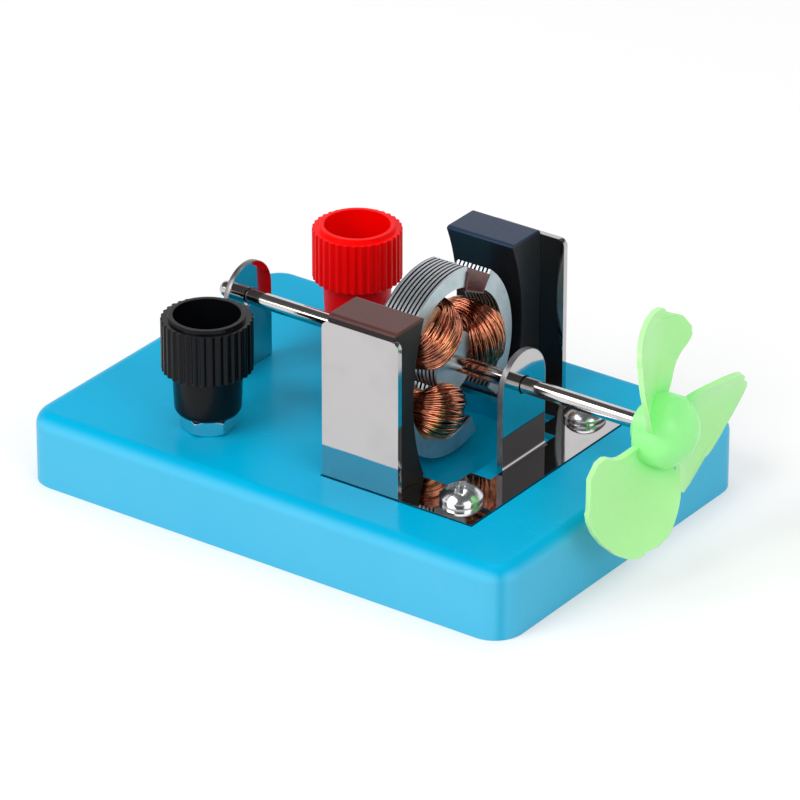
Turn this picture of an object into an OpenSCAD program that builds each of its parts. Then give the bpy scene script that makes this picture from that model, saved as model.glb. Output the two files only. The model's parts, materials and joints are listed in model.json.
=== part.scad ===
// Demonstration electric motor: a moulded base, two magnets in a bent steel yoke, a three-pole wound
// rotor on a long shaft, two brushes, two screw posts and a three-blade fan.
// Millimetres. The origin is the middle of the base's underside, +X runs along the shaft to the fan,
// +Y points to the red post and +Z is up.

/* [Base] */
// Length of the base, along the shaft
base_l = 95; // [90:1:110]
// Width of the base
base_w = 68; // [64:1:80]
// Height of the base
base_h = 12.6; // [12:0.2:16]
// Radius of the base's corners seen from above
base_corner_r = 5.2; // [3.5:0.1:9]
// Radius of the round along the base's top edge
base_edge_r = 2.7; // [1:0.1:3]
// Thickness of the base's side walls
base_wall = 2; // [1.5:0.1:3]
// Thickness of the base's top
base_top_t = 3; // [2.6:0.1:3.4]
// Depth of the well in the base, under the rotor
well_depth = 4; // [3.8:0.1:5]
// Wall of the well's housing inside the base
well_wall = 1.2; // [0.8:0.1:1.4]
// Radius of the foot under the middle of the base
foot_r = 3.6; // [2:0.1:4]

/* [Yoke] */
// Sheet thickness of the yoke plate, its walls and both bearing tabs
sheet_t = 1; // [0.8:0.1:1.2]
// How far the yoke plate stands proud of the base's top
plate_proud = 0.1; // [0.05:0.05:0.3]
// Length of the yoke plate
plate_l = 28.9; // [28:0.1:30]
// Width of the yoke over its walls
yoke_w = 47; // [46:0.5:50]
// From the plate's front edge to the base's front edge
plate_margin = 13.5; // [10:0.5:15]
// Depth of the plate's front bar, in front of the window
plate_bar = 10.1; // [9.5:0.1:10.5]
// Width of each side arm of the plate
plate_arm = 8.8; // [8:0.1:9.5]
// Length of each upright wall
wall_l = 14.8; // [14:0.1:16]
// Height of the upright walls above the base's top
wall_rise = 27.5; // [25:0.5:28]
// Radius of the walls' upper corners
wall_corner_r = 1.2; // [0.5:0.1:3]
// Inner radius of the bends
bend_r = 0.6; // [0.3:0.1:0.8]
// Gap around the plate in its seat
seat_gap = 0.3; // [0.1:0.1:0.5]

/* [Bearing tabs] */
// Width of a bearing tab
tab_w = 12; // [9:0.5:13]
// From the front tab's face to the plate's front edge
tab_setback = 6.24; // [5.6:0.1:6.6]
// Width of the relief notch at each side of the front tab
notch_w = 3.2; // [2:0.1:4.5]
// Height of the shaft's axis above the base's top
axis_rise = 13.2; // [13.1:0.1:14]
// Running gap between shaft and bearing hole
bearing_gap = 0.25; // [0.05:0.05:0.3]
// From the base's rear edge to the rear tab's front face
rear_tab_margin = 20.7; // [19:0.1:22]
// Length of the rear bracket's foot
foot_l = 12; // [11:0.5:14]

/* [Magnets] */
// Length of a magnet along the shaft
magnet_l = 13; // [10:0.5:14]
// Height of a magnet
magnet_h = 28.3; // [26:0.1:29]
// Thickness of a magnet at its top and bottom edges
magnet_t = 8.2; // [7:0.1:8.4]
// Hollow of a magnet's inner face at mid height
magnet_hollow = 3.1; // [2:0.1:3.2]
// Radius of a magnet's rounded edges
magnet_edge_r = 0.9; // [0.7:0.1:1.5]
// Near magnet's middle from the middle of the walls, along the shaft
near_magnet_shift = -0.45; // [-2:0.05:0.4]
// Far magnet's middle from the middle of the walls, along the shaft
far_magnet_shift = -3.7; // [-4:0.1:0]

/* [Rotor] */
// Diameter of the shaft
shaft_d = 2.7; // [2.5:0.1:3.2]
// How far the shaft stands out behind the rear tab
shaft_overhang = 4.7; // [2:0.1:8]
// Rounding of the shaft's rear end
shaft_end_r = 1.1; // [0.2:0.1:1.2]
// Air gap between the rotor and a magnet's inner face at mid height
rotor_gap = 1.4; // [1:0.1:1.9]
// Number of laminations
lamination_count = 9; // [6:1:10]
// Thickness of one lamination
lamination_t = 0.75; // [0.6:0.05:0.8]
// Part of a lamination's thickness that is set back at its rim
rim_step_t = 0.22; // [0.1:0.02:0.3]
// How far the rim step is set back
rim_step = 0.3; // [0.1:0.05:0.5]
// Middle of the rotor from the middle of the walls, along the shaft
rotor_shift = -1.6; // [-2:0.1:0.2]
// Width of a pole's stem
stem_w = 5; // [4:0.1:6]
// Radius of the rotor's hub
hub_r = 5.2; // [4.5:0.1:5.4]
// Thickness of a pole shoe at its middle
shoe_t = 2.7; // [2:0.1:2.9]
// Thickness of a pole shoe at its ends
tip_t = 3.4; // [2.7:0.1:3.6]
// Opening between two pole shoes, in degrees
slot_angle = 26; // [20:1:34]
// Direction of the first pole at rest, in degrees from +Y
first_pole_angle = 125; // [95:1:145]
// Thickness of the slot liner's card
liner_t = 0.3; // [0.2:0.05:0.4]
// Depth of the slot liner's floor below the rotor's rim, along its sides
liner_depth = 4.1; // [3.8:0.1:4.4]
// Height of the slot liner's sides
liner_rise = 3.3; // [2.5:0.1:3.6]
// How far the slot liner stands out of the rotor's faces
liner_overhang = 0.3; // [0.1:0.1:0.5]

/* [Coils] */
// Width of a coil across its pole
coil_w = 12.8; // [10:0.2:13]
// Gap between a coil and the hub or the shoe, along the pole
coil_gap = 0.65; // [0.6:0.05:1.5]
// How far a coil bulges out of the rotor's faces
coil_bulge = 3.1; // [2:0.1:3.4]
// Corner radius of a coil
coil_corner_r = 2.6; // [2:0.1:3]
// Least gap between a coil's shoulder and the round inside of its shoe
coil_shoulder_gap = 0.1; // [0.05:0.05:0.3]
// How much a coil narrows towards the hub
coil_waist = 2.4; // [1:0.1:3]
// Thickness of the insulating paper on a pole's stem
paper_t = 0.3; // [0.2:0.05:0.4]
// Diameter of a coil's end wire
lead_d = 0.6; // [0.4:0.1:0.8]

/* [Commutator and brushes] */
// Length of the commutator's copper segments
segment_l = 7; // [6:0.1:8]
// Outer diameter of the segments
commutator_d = 6.6; // [6:0.1:7]
// Thickness of a segment
segment_t = 0.8; // [0.6:0.1:1]
// Opening between two segments, in degrees
segment_gap_angle = 12; // [6:1:20]
// Length of the insulating sleeve in front of the segments, up to the rotor
sleeve_front_l = 4.4; // [4:0.1:5]
// Length of the retaining ring behind the segments
ring_l = 1.4; // [1:0.1:2]
// Sheet thickness of a brush
brush_t = 0.4; // [0.3:0.05:0.5]
// Width of a brush
brush_w = 4.4; // [4:0.1:5]
// How far a brush rises above the shaft's axis
brush_over = 2.6; // [2:0.1:3]
// Length of a brush's foot
brush_foot_l = 8.4; // [7.8:0.1:9]
// Gap between a brush and the turning segments
brush_gap = 0.1; // [0.05:0.05:0.15]

/* [Screw posts] */
// Outer diameter of a post's knurled cap
cap_d = 15; // [14:0.1:16]
// Height of the knurled part of a cap
cap_knurl_h = 8.9; // [8:0.1:10]
// Number of ribs round a cap
cap_ribs = 34; // [24:1:40]
// Depth of the grooves between the ribs
rib_depth = 0.3; // [0.2:0.05:0.5]
// Diameter of a cap's neck at its top
neck_d = 11.5; // [10.5:0.1:12]
// How much a cap's neck narrows towards its lower end, in diameter
neck_taper = 0.5; // [0:0.1:1]
// Height of a cap's neck, under the knurled part
neck_h = 8; // [7.8:0.1:9]
// Radius of the round at the lower end of the neck
neck_round = 1.4; // [0.6:0.1:1.8]
// Diameter of the hollow in the top of a cap
hollow_d = 11; // [10:0.1:11.4]
// Thickness of the thin lip round the hollow
lip_t = 0.8; // [0.6:0.1:0.9]
// Height of the lip above the knurled part
lip_h = 0.6; // [0.3:0.1:1]
// Depth of the hollow, below the knurled part's top
hollow_depth = 9.2; // [7:0.1:9.6]
// Diameter of the brass insert in a cap
insert_d = 5.6; // [5:0.1:6]
// From the base's rear edge to a post's axis
post_margin = 27.6; // [26:0.1:29]
// From a post's axis to the base's side edge
post_inset = 13.5; // [11:0.1:14]

/* [Fasteners] */
// Diameter of the screws and of the post studs
screw_d = 3; // [2.6:0.1:3]
// Clearance round a screw in its hole, in diameter
screw_clear = 0.3; // [0.2:0.05:0.4]
// Diameter of a screw's head
head_d = 7; // [6:0.1:7.4]
// Height of a screw's head
head_h = 2.7; // [2.2:0.1:3]
// Width of a nut across its flats
nut_af = 5.5; // [5:0.1:5.5]
// Thickness of a nut
nut_h = 2.4; // [2:0.1:2.4]
// Width of the nut under a cap, across its flats
post_nut_af = 8; // [7.6:0.1:9]
// Thickness of the nut under a cap
post_nut_h = 2.7; // [2:0.1:3]
// Diameter of the brush screws
brush_screw_d = 2; // [1.8:0.1:2.2]
// Head diameter of the brush screws
brush_head_d = 4; // [3.6:0.1:4.2]
// Width of the brush screws' nuts across their flats
brush_nut_af = 4; // [3.6:0.1:4]
// Gap between a nut and its screw, in radius
thread_gap = 0.05; // [0.02:0.01:0.1]
// Length of a screw beyond its nut
screw_tail = 0.8; // [0.4:0.1:1.2]
// Thickness of the contact strips under the base's top
strip_t = 0.5; // [0.4:0.1:0.8]
// Width of the contact strips
strip_w = 5; // [4.6:0.1:5.4]

/* [Fan] */
// From the base's front edge to the rear of the fan's collar
fan_margin = 2.7; // [2:0.1:6]
// Radius of the fan
fan_r = 21.2; // [18:0.1:24]
// Radius of the fan's hub
fan_hub_r = 6; // [5.8:0.1:7]
// Radius of the collar behind the hub
fan_collar_r = 3.3; // [2.6:0.1:4]
// Length of the collar
fan_collar_l = 2; // [1:0.1:3]
// Length of the hub's straight part
fan_hub_l = 3.9; // [3.6:0.1:5]
// Height of the hub's dome
fan_dome_h = 3.9; // [3:0.1:5]
// Number of blades
blade_count = 3; // [2:1:4]
// Thickness of a blade
blade_t = 0.8; // [0.7:0.1:1.2]
// From the rear of the hub to the middle of the blades' roots
blade_station = 0.55; // [0.5:0.05:0.8]
// Leading edge from the blade's middle line at the root, in degrees
lead_root_angle = 52; // [40:1:58]
// Leading edge from the blade's middle line at the tip, in degrees
lead_tip_angle = 22; // [15:1:35]
// Trailing edge from the blade's middle line at the root, in degrees
trail_root_angle = 32; // [20:1:40]
// Trailing edge from the blade's middle line where it is widest, in degrees
trail_wide_angle = 46; // [35:1:52]
// Trailing edge from the blade's middle line at the tip, in degrees
trail_tip_angle = 20; // [12:1:30]
// Pitch of a blade: how far it screws forwards for each millimetre round
blade_pitch = 0.31; // [0.2:0.01:0.45]
// Cup of a blade near its tip: how far both edges bend forwards
blade_cup = 6.5; // [3:0.1:8]
// Cup of a blade at its root
root_cup = 2.5; // [1:0.1:4]
// Curl of a blade's leading edge at the root
root_curl = 2.6; // [0:0.1:3]
// Forward lean of a blade's tip
blade_rake = 0.8; // [-1:0.1:2]
// Direction of the first blade at rest, in degrees from +Y
first_blade_angle = 102; // [60:1:150]

/* [Hidden] */
$fn = 64;

// Overlap of a cut past the surface that it opens
cut = 1;
// Overlap of two shapes that make one solid
lap = 0.5;

// Set-backs and margins
yoke_screw_setback = 1.15;
yoke_screw_inset = 6.1;
bracket_screw_setback = 0.8;
brush_setback = 1;
brush_foot_margin = 0.8;
stud_setback = 0.4;
well_rear_gap = 1.6;
well_front_ledge = 0.5;
well_side_ledge = 0.1;
well_corner_r = 2;

// Heights
plate_top_z = base_h + plate_proud;
plate_under_z = plate_top_z - sheet_t;
axis_z = base_h + axis_rise;
wall_top_z = base_h + wall_rise;
ceiling_z = base_h - base_top_t;
well_floor_z = base_h - well_depth;
well_under_z = well_floor_z - well_wall;
strip_under_z = ceiling_z - strip_t;

// Places along the shaft
plate_front_x = base_l / 2 - plate_margin;
plate_rear_x = plate_front_x - plate_l;
window_front_x = plate_front_x - plate_bar;
wall_mid_x = plate_rear_x + wall_l / 2;
front_tab_x = plate_front_x - tab_setback;
rear_tab_x = rear_tab_margin - base_l / 2;
rotor_l = lamination_count * lamination_t;
rotor_mid_x = wall_mid_x + rotor_shift;
rotor_rear_x = rotor_mid_x - rotor_l / 2;
coil_rear_x = rotor_rear_x - coil_bulge;
segment_front_x = rotor_rear_x - sleeve_front_l;
segment_rear_x = segment_front_x - segment_l;
ring_rear_x = segment_rear_x - ring_l;
brush_x = (segment_front_x + segment_rear_x) / 2 - brush_setback;
fan_rear_x = base_l / 2 + fan_margin;
blade_x = fan_rear_x + fan_collar_l + blade_station;
dome_x = fan_rear_x + fan_collar_l + fan_hub_l;
shaft_rear_x = rear_tab_x - sheet_t - shaft_overhang;
shaft_front_x = dome_x;
post_x = post_margin - base_l / 2;

// Places across the shaft
wall_in_y = yoke_w / 2 - sheet_t;
window_y = yoke_w / 2 - plate_arm;
notch_y = tab_w / 2 + notch_w;
post_y = base_w / 2 - post_inset;
brush_face_y = commutator_d / 2 + brush_gap;
brush_screw_y = brush_face_y + brush_foot_l - brush_head_d / 2 - brush_foot_margin;
yoke_screw_x = (plate_front_x + window_front_x) / 2 - yoke_screw_setback;
yoke_screw_y = yoke_w / 2 - yoke_screw_inset;
bracket_screw_x = rear_tab_x - sheet_t - foot_l / 2 - bracket_screw_setback;
well_rear_x = coil_rear_x - well_rear_gap;
well_front_x = window_front_x - well_front_ledge;
well_y = window_y - well_side_ledge;

// Screw and nut sizes
screw_hole_d = screw_d + screw_clear;
brush_hole_d = brush_screw_d + screw_clear;
nut_bore_d = screw_d + 2 * thread_gap;
brush_nut_bore_d = brush_screw_d + 2 * thread_gap;
brush_head_h = 1.3;
brush_nut_h = 1.6;
// Broken corners of the nuts: round face as a share of the width across flats, slope and margin
nut_face_share = 0.97;
nut_slope = 30;
nut_corner_margin = 0.2;
// Shares of a head's height and diameter
head_rim_share = 0.3;
recess_l_share = 0.6;
recess_w_share = 0.17;

// Posts
cap_base_z = base_h + post_nut_h;
knurl_base_z = cap_base_z + neck_h;
knurl_top_z = knurl_base_z + cap_knurl_h;
hollow_floor_z = knurl_top_z - hollow_depth;
insert_h = hollow_floor_z - cap_base_z;
stud_top_z = hollow_floor_z - stud_setback;

// Rotor windings
pole_angles = [for (i = [0:2]) first_pole_angle + 120 * i];
rotor_r = yoke_w / 2 - sheet_t - magnet_t + magnet_hollow - rotor_gap;
shoe_in_r = rotor_r - shoe_t;
liner_floor_r = rotor_r - liner_depth;
shoe_half_angle = (120 - slot_angle) / 2;
coil_h = shoe_in_r - hub_r - 2 * coil_gap;
coil_mid_r = (hub_r + shoe_in_r) / 2;
lead_foot_r = commutator_d / 2 + lead_d / 2;

// Round inside of a shoe: a circle through its middle and its ends, its centre moved out along the pole
tip_in_r = rotor_r - tip_t;
shoe_centre = (tip_in_r * tip_in_r - shoe_in_r * shoe_in_r)
    / (2 * (tip_in_r * cos(shoe_half_angle) - shoe_in_r));
shoe_face_r = shoe_in_r - shoe_centre;
coil_top_w = 2 * sqrt(pow(shoe_face_r - coil_shoulder_gap, 2)
    - pow(coil_mid_r + coil_h / 2 - shoe_centre, 2));

// Blade: how deep its root sits in the hub, the length of its round tip and the angle where the tip ends
blade_sink = 1.1;
tip_round_l = 1.9;
blade_tip_angle = 9;
blade_root_r = fan_hub_r - blade_sink;
blade_round_r = fan_r - tip_round_l;
blade_span = blade_round_r - blade_root_r;

// Blade edges: stations from root to tip, the edges' angles there, and how far they bow between
quarter = 0.27;
middle = 0.53;
shoulder = 0.8;
trail_dip = 2;
trail_bow = 5;
lead_rise = 1;
lead_bow = 6;
lead_corner = 12;
trail_edge = [[0, trail_root_angle], [quarter, (trail_root_angle + trail_wide_angle) / 2 - trail_dip],
    [middle, trail_wide_angle - trail_bow], [shoulder, trail_wide_angle], [1, trail_tip_angle]];
lead_edge = [[0, lead_root_angle], [quarter, lead_root_angle + lead_rise],
    [middle, (lead_root_angle + lead_tip_angle) / 2 + lead_bow], [shoulder, lead_tip_angle + lead_corner],
    [1, lead_tip_angle]];

// Blade grid, and how far round its quarter turn the last row of the tip lies
blade_rows = 12;
tip_rows = 5;
blade_cols = 8;
last_row_angle = 86;
slope_step = 0.01;

// ---------- shapes used more than once ----------

// Flat rectangle with round corners
module round_rect(l, w, r) {
    square([l - 2 * r, w], center = true);
    square([l, w - 2 * r], center = true);
    for (x = [-1, 1], y = [-1, 1]) translate([x * (l / 2 - r), y * (w / 2 - r)]) circle(r);
}

// Half section of an edge: straight side, round top corner; x runs outwards from the inside
module edge_section(depth, h, edge_r) {
    square([depth, h - edge_r]);
    square([depth - edge_r, h]);
    intersection() {
        translate([depth - edge_r, h - edge_r]) circle(edge_r);
        translate([depth - edge_r, h - edge_r]) square(edge_r);
    }
}

// Block with round corners seen from above and a rounded top edge
module soft_block(l, w, h, corner_r, edge_r) {
    side_l = l - 2 * corner_r;
    end_w = w - 2 * corner_r;
    translate([-side_l / 2, -end_w / 2, 0]) cube([side_l, end_w, h]);
    for (s = [0, 180]) rotate([0, 0, s]) {
        translate([-side_l / 2, end_w / 2, 0]) rotate([90, 0, 90])
            linear_extrude(side_l) edge_section(corner_r, h, edge_r);
        translate([side_l / 2, end_w / 2, 0]) rotate([90, 0, 0])
            linear_extrude(end_w) edge_section(corner_r, h, edge_r);
        translate([side_l / 2, end_w / 2, 0]) rotate_extrude(angle = 90) edge_section(corner_r, h, edge_r);
        translate([side_l / 2, -end_w / 2, 0]) rotate([0, 0, -90])
            rotate_extrude(angle = 90) edge_section(corner_r, h, edge_r);
    }
}

// Cylinder along +X from x, at the shaft's axis
module along_shaft(x, l, d) {
    translate([x, 0, axis_z]) rotate([0, 90, 0]) cylinder(d = d, h = l);
}

// Lies a flat drawing in the plane across the shaft: drawing x runs along +Y, drawing y along +Z
module across_shaft(x, t) {
    translate([x, 0, axis_z]) rotate([90, 0, 90]) linear_extrude(t) children();
}

// Flat hexagon with its flats facing along x
module hexagon(af) {
    rotate(30) circle(d = af / cos(30), $fn = 6);
}

// Hexagon nut hanging under z, its corners broken by a cone at each end
module nut_under(z, af, h, bore_d) {
    face_r = nut_face_share * af / 2;
    corner_r = af / sqrt(3) + nut_corner_margin;
    rise = (corner_r - face_r) * tan(nut_slope);
    translate([0, 0, z - h]) difference() {
        intersection() {
            translate([0, 0, -cut]) linear_extrude(h + 2 * cut) hexagon(af);
            rotate_extrude() polygon([
                [0, 0], [face_r, 0], [corner_r, rise], [corner_r, h - rise], [face_r, h], [0, h]
            ]);
        }
        translate([0, 0, -cut]) cylinder(d = bore_d, h = h + 2 * cut);
    }
}

// Pan-head screw with a cross recess, its head seated at z, its shank down to bottom_z
module pan_screw(z, bottom_z, d, top_d, top_h) {
    rim_h = top_h * head_rim_share;
    dome_h = top_h - rim_h;
    translate([0, 0, bottom_z]) cylinder(d = d, h = z - bottom_z + top_h / 2);
    difference() {
        translate([0, 0, z]) rotate_extrude() {
            square([top_d / 2, rim_h]);
            intersection() {
                translate([0, rim_h]) square([top_d / 2, dome_h]);
                translate([0, dome_drop(top_d, dome_h) + rim_h]) circle(dome_radius(top_d, dome_h));
            }
        }
        for (a = [0, 90]) translate([0, 0, z + top_h]) rotate([0, 0, a])
            cube([top_d * recess_l_share, top_d * recess_w_share, top_h], center = true);
    }
}

// Radius of the sphere that is h high over a circle of diameter d
function dome_radius(d, h) = (d * d / 4 + h * h) / (2 * h);

// Its centre, below the circle
function dome_drop(d, h) = h - dome_radius(d, h);

// Flat drawing of a bearing tab: round top about the shaft's axis, straight down to foot_y
module tab_drawing(foot_y) {
    circle(d = tab_w);
    translate([-tab_w / 2, foot_y]) square([tab_w, -foot_y]);
}

// Inside round of a bend that runs along +Y from y, in the corner between a floor and a wall
module bend_fill(l) {
    rotate([-90, 0, 0]) linear_extrude(l) difference() {
        translate([0, -bend_r]) square(bend_r);
        translate([bend_r, -bend_r]) circle(bend_r);
    }
}

// ---------- base ----------

module base() {
    color([0.18, 0.68, 0.87]) difference() {
        union() {
            difference() {
                soft_block(base_l, base_w, base_h, base_corner_r, base_edge_r);
                translate([0, 0, -cut]) linear_extrude(ceiling_z + cut)
                    round_rect(base_l - 2 * base_wall, base_w - 2 * base_wall, base_corner_r - base_wall);
            }
            well_block(well_under_z, ceiling_z + lap, well_wall);
            cylinder(r = foot_r, h = ceiling_z + lap);
        }
        well_block(well_floor_z, base_h + cut, 0);
        plate_seat();
        for (y = [-1, 1]) {
            translate([yoke_screw_x, y * yoke_screw_y, 0]) cylinder(d = screw_hole_d, h = base_h + cut);
            translate([post_x, y * post_y, 0]) cylinder(d = screw_hole_d, h = base_h + cut);
            translate([brush_x, y * brush_screw_y, 0]) cylinder(d = brush_hole_d, h = base_h + cut);
        }
        translate([bracket_screw_x, 0, 0]) cylinder(d = screw_hole_d, h = base_h + cut);
    }
}

// Block of the well, grown sideways by grow
module well_block(z0, z1, grow) {
    translate([(well_rear_x + well_front_x) / 2, 0, z0]) linear_extrude(z1 - z0)
        round_rect(well_front_x - well_rear_x + 2 * grow, 2 * well_y + 2 * grow, well_corner_r + grow);
}

// Seat that lets the yoke plate into the base's top
module plate_seat() {
    translate([plate_rear_x - seat_gap, -yoke_w / 2 - seat_gap, plate_under_z])
        cube([plate_l + 2 * seat_gap, yoke_w + 2 * seat_gap, base_h + cut - plate_under_z]);
}

// ---------- yoke ----------

module yoke_plate() {
    color([0.78, 0.78, 0.80]) difference() {
        union() {
            translate([0, 0, plate_under_z]) linear_extrude(sheet_t) difference() {
                translate([plate_rear_x, -yoke_w / 2]) square([plate_l, yoke_w]);
                plate_window();
            }
            for (s = [-1, 1]) yoke_wall(s);
            front_tab();
        }
        for (y = [-1, 1]) translate([yoke_screw_x, y * yoke_screw_y, plate_under_z - cut])
            cylinder(d = screw_hole_d, h = sheet_t + 2 * cut);
        along_shaft(front_tab_x - sheet_t - cut, sheet_t + 2 * cut, shaft_d + 2 * bearing_gap);
    }
}

// Window of the plate, open at the rear, with the notch that frees the bearing tab
module plate_window() {
    translate([plate_rear_x - cut, -window_y]) square([window_front_x - plate_rear_x + cut, 2 * window_y]);
    translate([window_front_x - cut, -notch_y])
        square([front_tab_x - sheet_t - window_front_x + cut, 2 * notch_y]);
    for (y = [-notch_y, tab_w / 2]) translate([window_front_x, y])
        square([front_tab_x - window_front_x, notch_w]);
}

// Upright wall with round upper corners; s is the side, -1 near or 1 far
module yoke_wall(s) {
    h = wall_top_z - plate_under_z;
    translate([wall_mid_x, s * (yoke_w / 2 - sheet_t / 2) + sheet_t / 2, plate_under_z])
        rotate([90, 0, 0]) linear_extrude(sheet_t) {
            translate([0, (h - wall_corner_r) / 2]) square([wall_l, h - wall_corner_r], center = true);
            translate([0, h - wall_corner_r])
                square([wall_l - 2 * wall_corner_r, 2 * wall_corner_r], center = true);
            for (x = [-1, 1]) translate([x * (wall_l / 2 - wall_corner_r), h - wall_corner_r])
                circle(wall_corner_r);
        }
    translate([wall_mid_x - wall_l / 2, s * wall_in_y, plate_top_z]) rotate([0, 0, s > 0 ? -90 : 90])
        translate([0, s > 0 ? 0 : -wall_l, 0]) bend_fill(wall_l);
}

// Front bearing tab, bent up from the plate
module front_tab() {
    across_shaft(front_tab_x - sheet_t, sheet_t) tab_drawing(plate_under_z - axis_z);
    translate([front_tab_x, -tab_w / 2, plate_top_z]) bend_fill(tab_w);
}

// ---------- magnets ----------

// Section of the near magnet in the plane across the shaft
module magnet_section() {
    top = plate_top_z + magnet_h - axis_z;
    bottom = plate_top_z - axis_z;
    half = magnet_h / 2;
    face_r = (half * half + magnet_hollow * magnet_hollow) / (2 * magnet_hollow);
    er = magnet_edge_r;
    difference() {
        translate([-wall_in_y + magnet_t / 2, (top + bottom) / 2]) round_rect(magnet_t, magnet_h, er);
        translate([-wall_in_y + magnet_t - magnet_hollow + face_r, (top + bottom) / 2])
            circle(face_r, $fn = 128);
    }
}

module near_magnet() {
    color([0.16, 0.16, 0.17])
        across_shaft(wall_mid_x + near_magnet_shift - magnet_l / 2, magnet_l) magnet_section();
}

module far_magnet() {
    color([0.16, 0.16, 0.17])
        across_shaft(wall_mid_x + far_magnet_shift - magnet_l / 2, magnet_l) mirror([1, 0]) magnet_section();
}

module yoke_screws() {
    color([0.80, 0.81, 0.83]) for (y = [-1, 1]) translate([yoke_screw_x, y * yoke_screw_y, 0])
        rotate([0, 0, 25]) pan_screw(plate_top_z, ceiling_z - nut_h - screw_tail, screw_d, head_d, head_h);
}

module yoke_nuts() {
    color([0.80, 0.81, 0.83]) for (y = [-1, 1]) translate([yoke_screw_x, y * yoke_screw_y, 0])
        nut_under(ceiling_z, nut_af, nut_h, nut_bore_d);
}

// ---------- rear bearing ----------

module rear_bearing_bracket() {
    back_x = rear_tab_x - sheet_t;
    color([0.78, 0.78, 0.80]) difference() {
        union() {
            across_shaft(back_x, sheet_t) tab_drawing(base_h - axis_z);
            translate([back_x - foot_l, -tab_w / 2, base_h]) cube([foot_l, tab_w, sheet_t]);
            translate([back_x, tab_w / 2, base_h + sheet_t]) rotate([0, 0, 180]) bend_fill(tab_w);
        }
        along_shaft(back_x - cut, sheet_t + 2 * cut, shaft_d + 2 * bearing_gap);
        translate([bracket_screw_x, 0, base_h - cut]) cylinder(d = screw_hole_d, h = sheet_t + 2 * cut);
    }
}

module bracket_screw() {
    color([0.80, 0.81, 0.83]) translate([bracket_screw_x, 0, 0]) rotate([0, 0, 60])
        pan_screw(base_h + sheet_t, ceiling_z - nut_h - screw_tail, screw_d, head_d, head_h);
}

module bracket_nut() {
    color([0.80, 0.81, 0.83]) translate([bracket_screw_x, 0, 0])
        nut_under(ceiling_z, nut_af, nut_h, nut_bore_d);
}

// ---------- rotor ----------

module shaft() {
    color([0.62, 0.62, 0.64]) translate([shaft_rear_x, 0, axis_z]) rotate([0, 90, 0]) rotate_extrude() {
        translate([0, shaft_end_r]) square([shaft_d / 2, shaft_front_x - shaft_rear_x - shaft_end_r]);
        square([shaft_d / 2 - shaft_end_r, shaft_end_r]);
        intersection() {
            translate([shaft_d / 2 - shaft_end_r, shaft_end_r]) circle(shaft_end_r);
            translate([shaft_d / 2 - shaft_end_r, 0]) square(shaft_end_r);
        }
    }
}

// Flat drawing of a lamination, its rim set back by inset
module lamination_drawing(inset) {
    outer = rotor_r - inset;
    shoe = shoe_half_angle - inset / rotor_r * 180 / PI;
    far = 2 * rotor_r;
    difference() {
        union() {
            circle(hub_r - inset);
            for (a = pole_angles) rotate(a) {
                translate([0, -stem_w / 2 + inset]) square([shoe_in_r + lap, stem_w - 2 * inset]);
                intersection() {
                    difference() {
                        circle(outer, $fn = 128);
                        translate([shoe_centre, 0]) circle(shoe_face_r + inset, $fn = 128);
                    }
                    polygon([[0, 0], [far * cos(shoe), -far * sin(shoe)], [2 * far, 0],
                        [far * cos(shoe), far * sin(shoe)]]);
                }
            }
        }
        circle(d = shaft_d);
    }
}

module rotor_laminations() {
    color([0.70, 0.73, 0.76]) for (i = [0:lamination_count - 1]) {
        x = rotor_rear_x + i * lamination_t;
        across_shaft(x, rim_step_t) lamination_drawing(rim_step);
        across_shaft(x + rim_step_t, lamination_t - rim_step_t) lamination_drawing(0);
    }
}

// Stands its children on the pole at angle a: their +Z points outwards, their +X along the shaft
module pole_frame(a) {
    translate([rotor_mid_x, 0, axis_z]) rotate([a - 90, 0, 0]) children();
}

// Insulating paper sleeves, one on each stem
module pole_insulators() {
    paper_under = 0.3;
    paper_over = 0.1;
    r0 = coil_mid_r - coil_h / 2 - paper_under;
    r1 = coil_mid_r + coil_h / 2 + paper_over;
    color([0.55, 0.38, 0.24]) for (a = pole_angles) pole_frame(a) translate([0, 0, r0])
        linear_extrude(r1 - r0) difference() {
            square([rotor_l + 2 * paper_t, stem_w + 2 * paper_t], center = true);
            square([rotor_l, stem_w], center = true);
        }
}

// Folded card in the slot that faces up
module slot_liner() {
    half = slot_angle / 2;
    floor_x = liner_floor_r * cos(half);
    floor_y = liner_floor_r * sin(half);
    color([0.33, 0.15, 0.13]) across_shaft(rotor_rear_x - liner_overhang, rotor_l + 2 * liner_overhang)
        rotate(pole_angles[2] + 60) {
            translate([floor_x, -floor_y]) square([liner_t, 2 * floor_y]);
            for (side = [0, 1]) mirror([0, side]) rotate(half) translate([liner_floor_r, -liner_t])
                square([liner_rise, liner_t]);
        }
}

// One winding: a round-cornered ring on the stem, fuller at its middle
module coil(i) {
    low = -coil_h / 2;
    end_t = 0.4;
    belly_share = 0.45;
    layers = [[low, end_t, coil_waist], [low / 2, coil_h * belly_share, 0],
        [-low - end_t, end_t, coil_w - coil_top_w]];
    color([0.80, 0.42, 0.24]) pole_frame(pole_angles[i]) translate([0, 0, coil_mid_r]) difference() {
        hull() for (p = layers) translate([0, 0, p[0]]) linear_extrude(p[1])
            round_rect(rotor_l + 2 * coil_bulge - p[2] / 2, coil_w - p[2], coil_corner_r, $fn = 32);
        translate([0, 0, -coil_h]) linear_extrude(2 * coil_h)
            square([rotor_l + 2 * paper_t, stem_w + 2 * paper_t], center = true);
    }
}

module coil_near() {
    coil(0);
}

module coil_low() {
    coil(1);
}

module coil_far() {
    coil(2);
}

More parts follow.
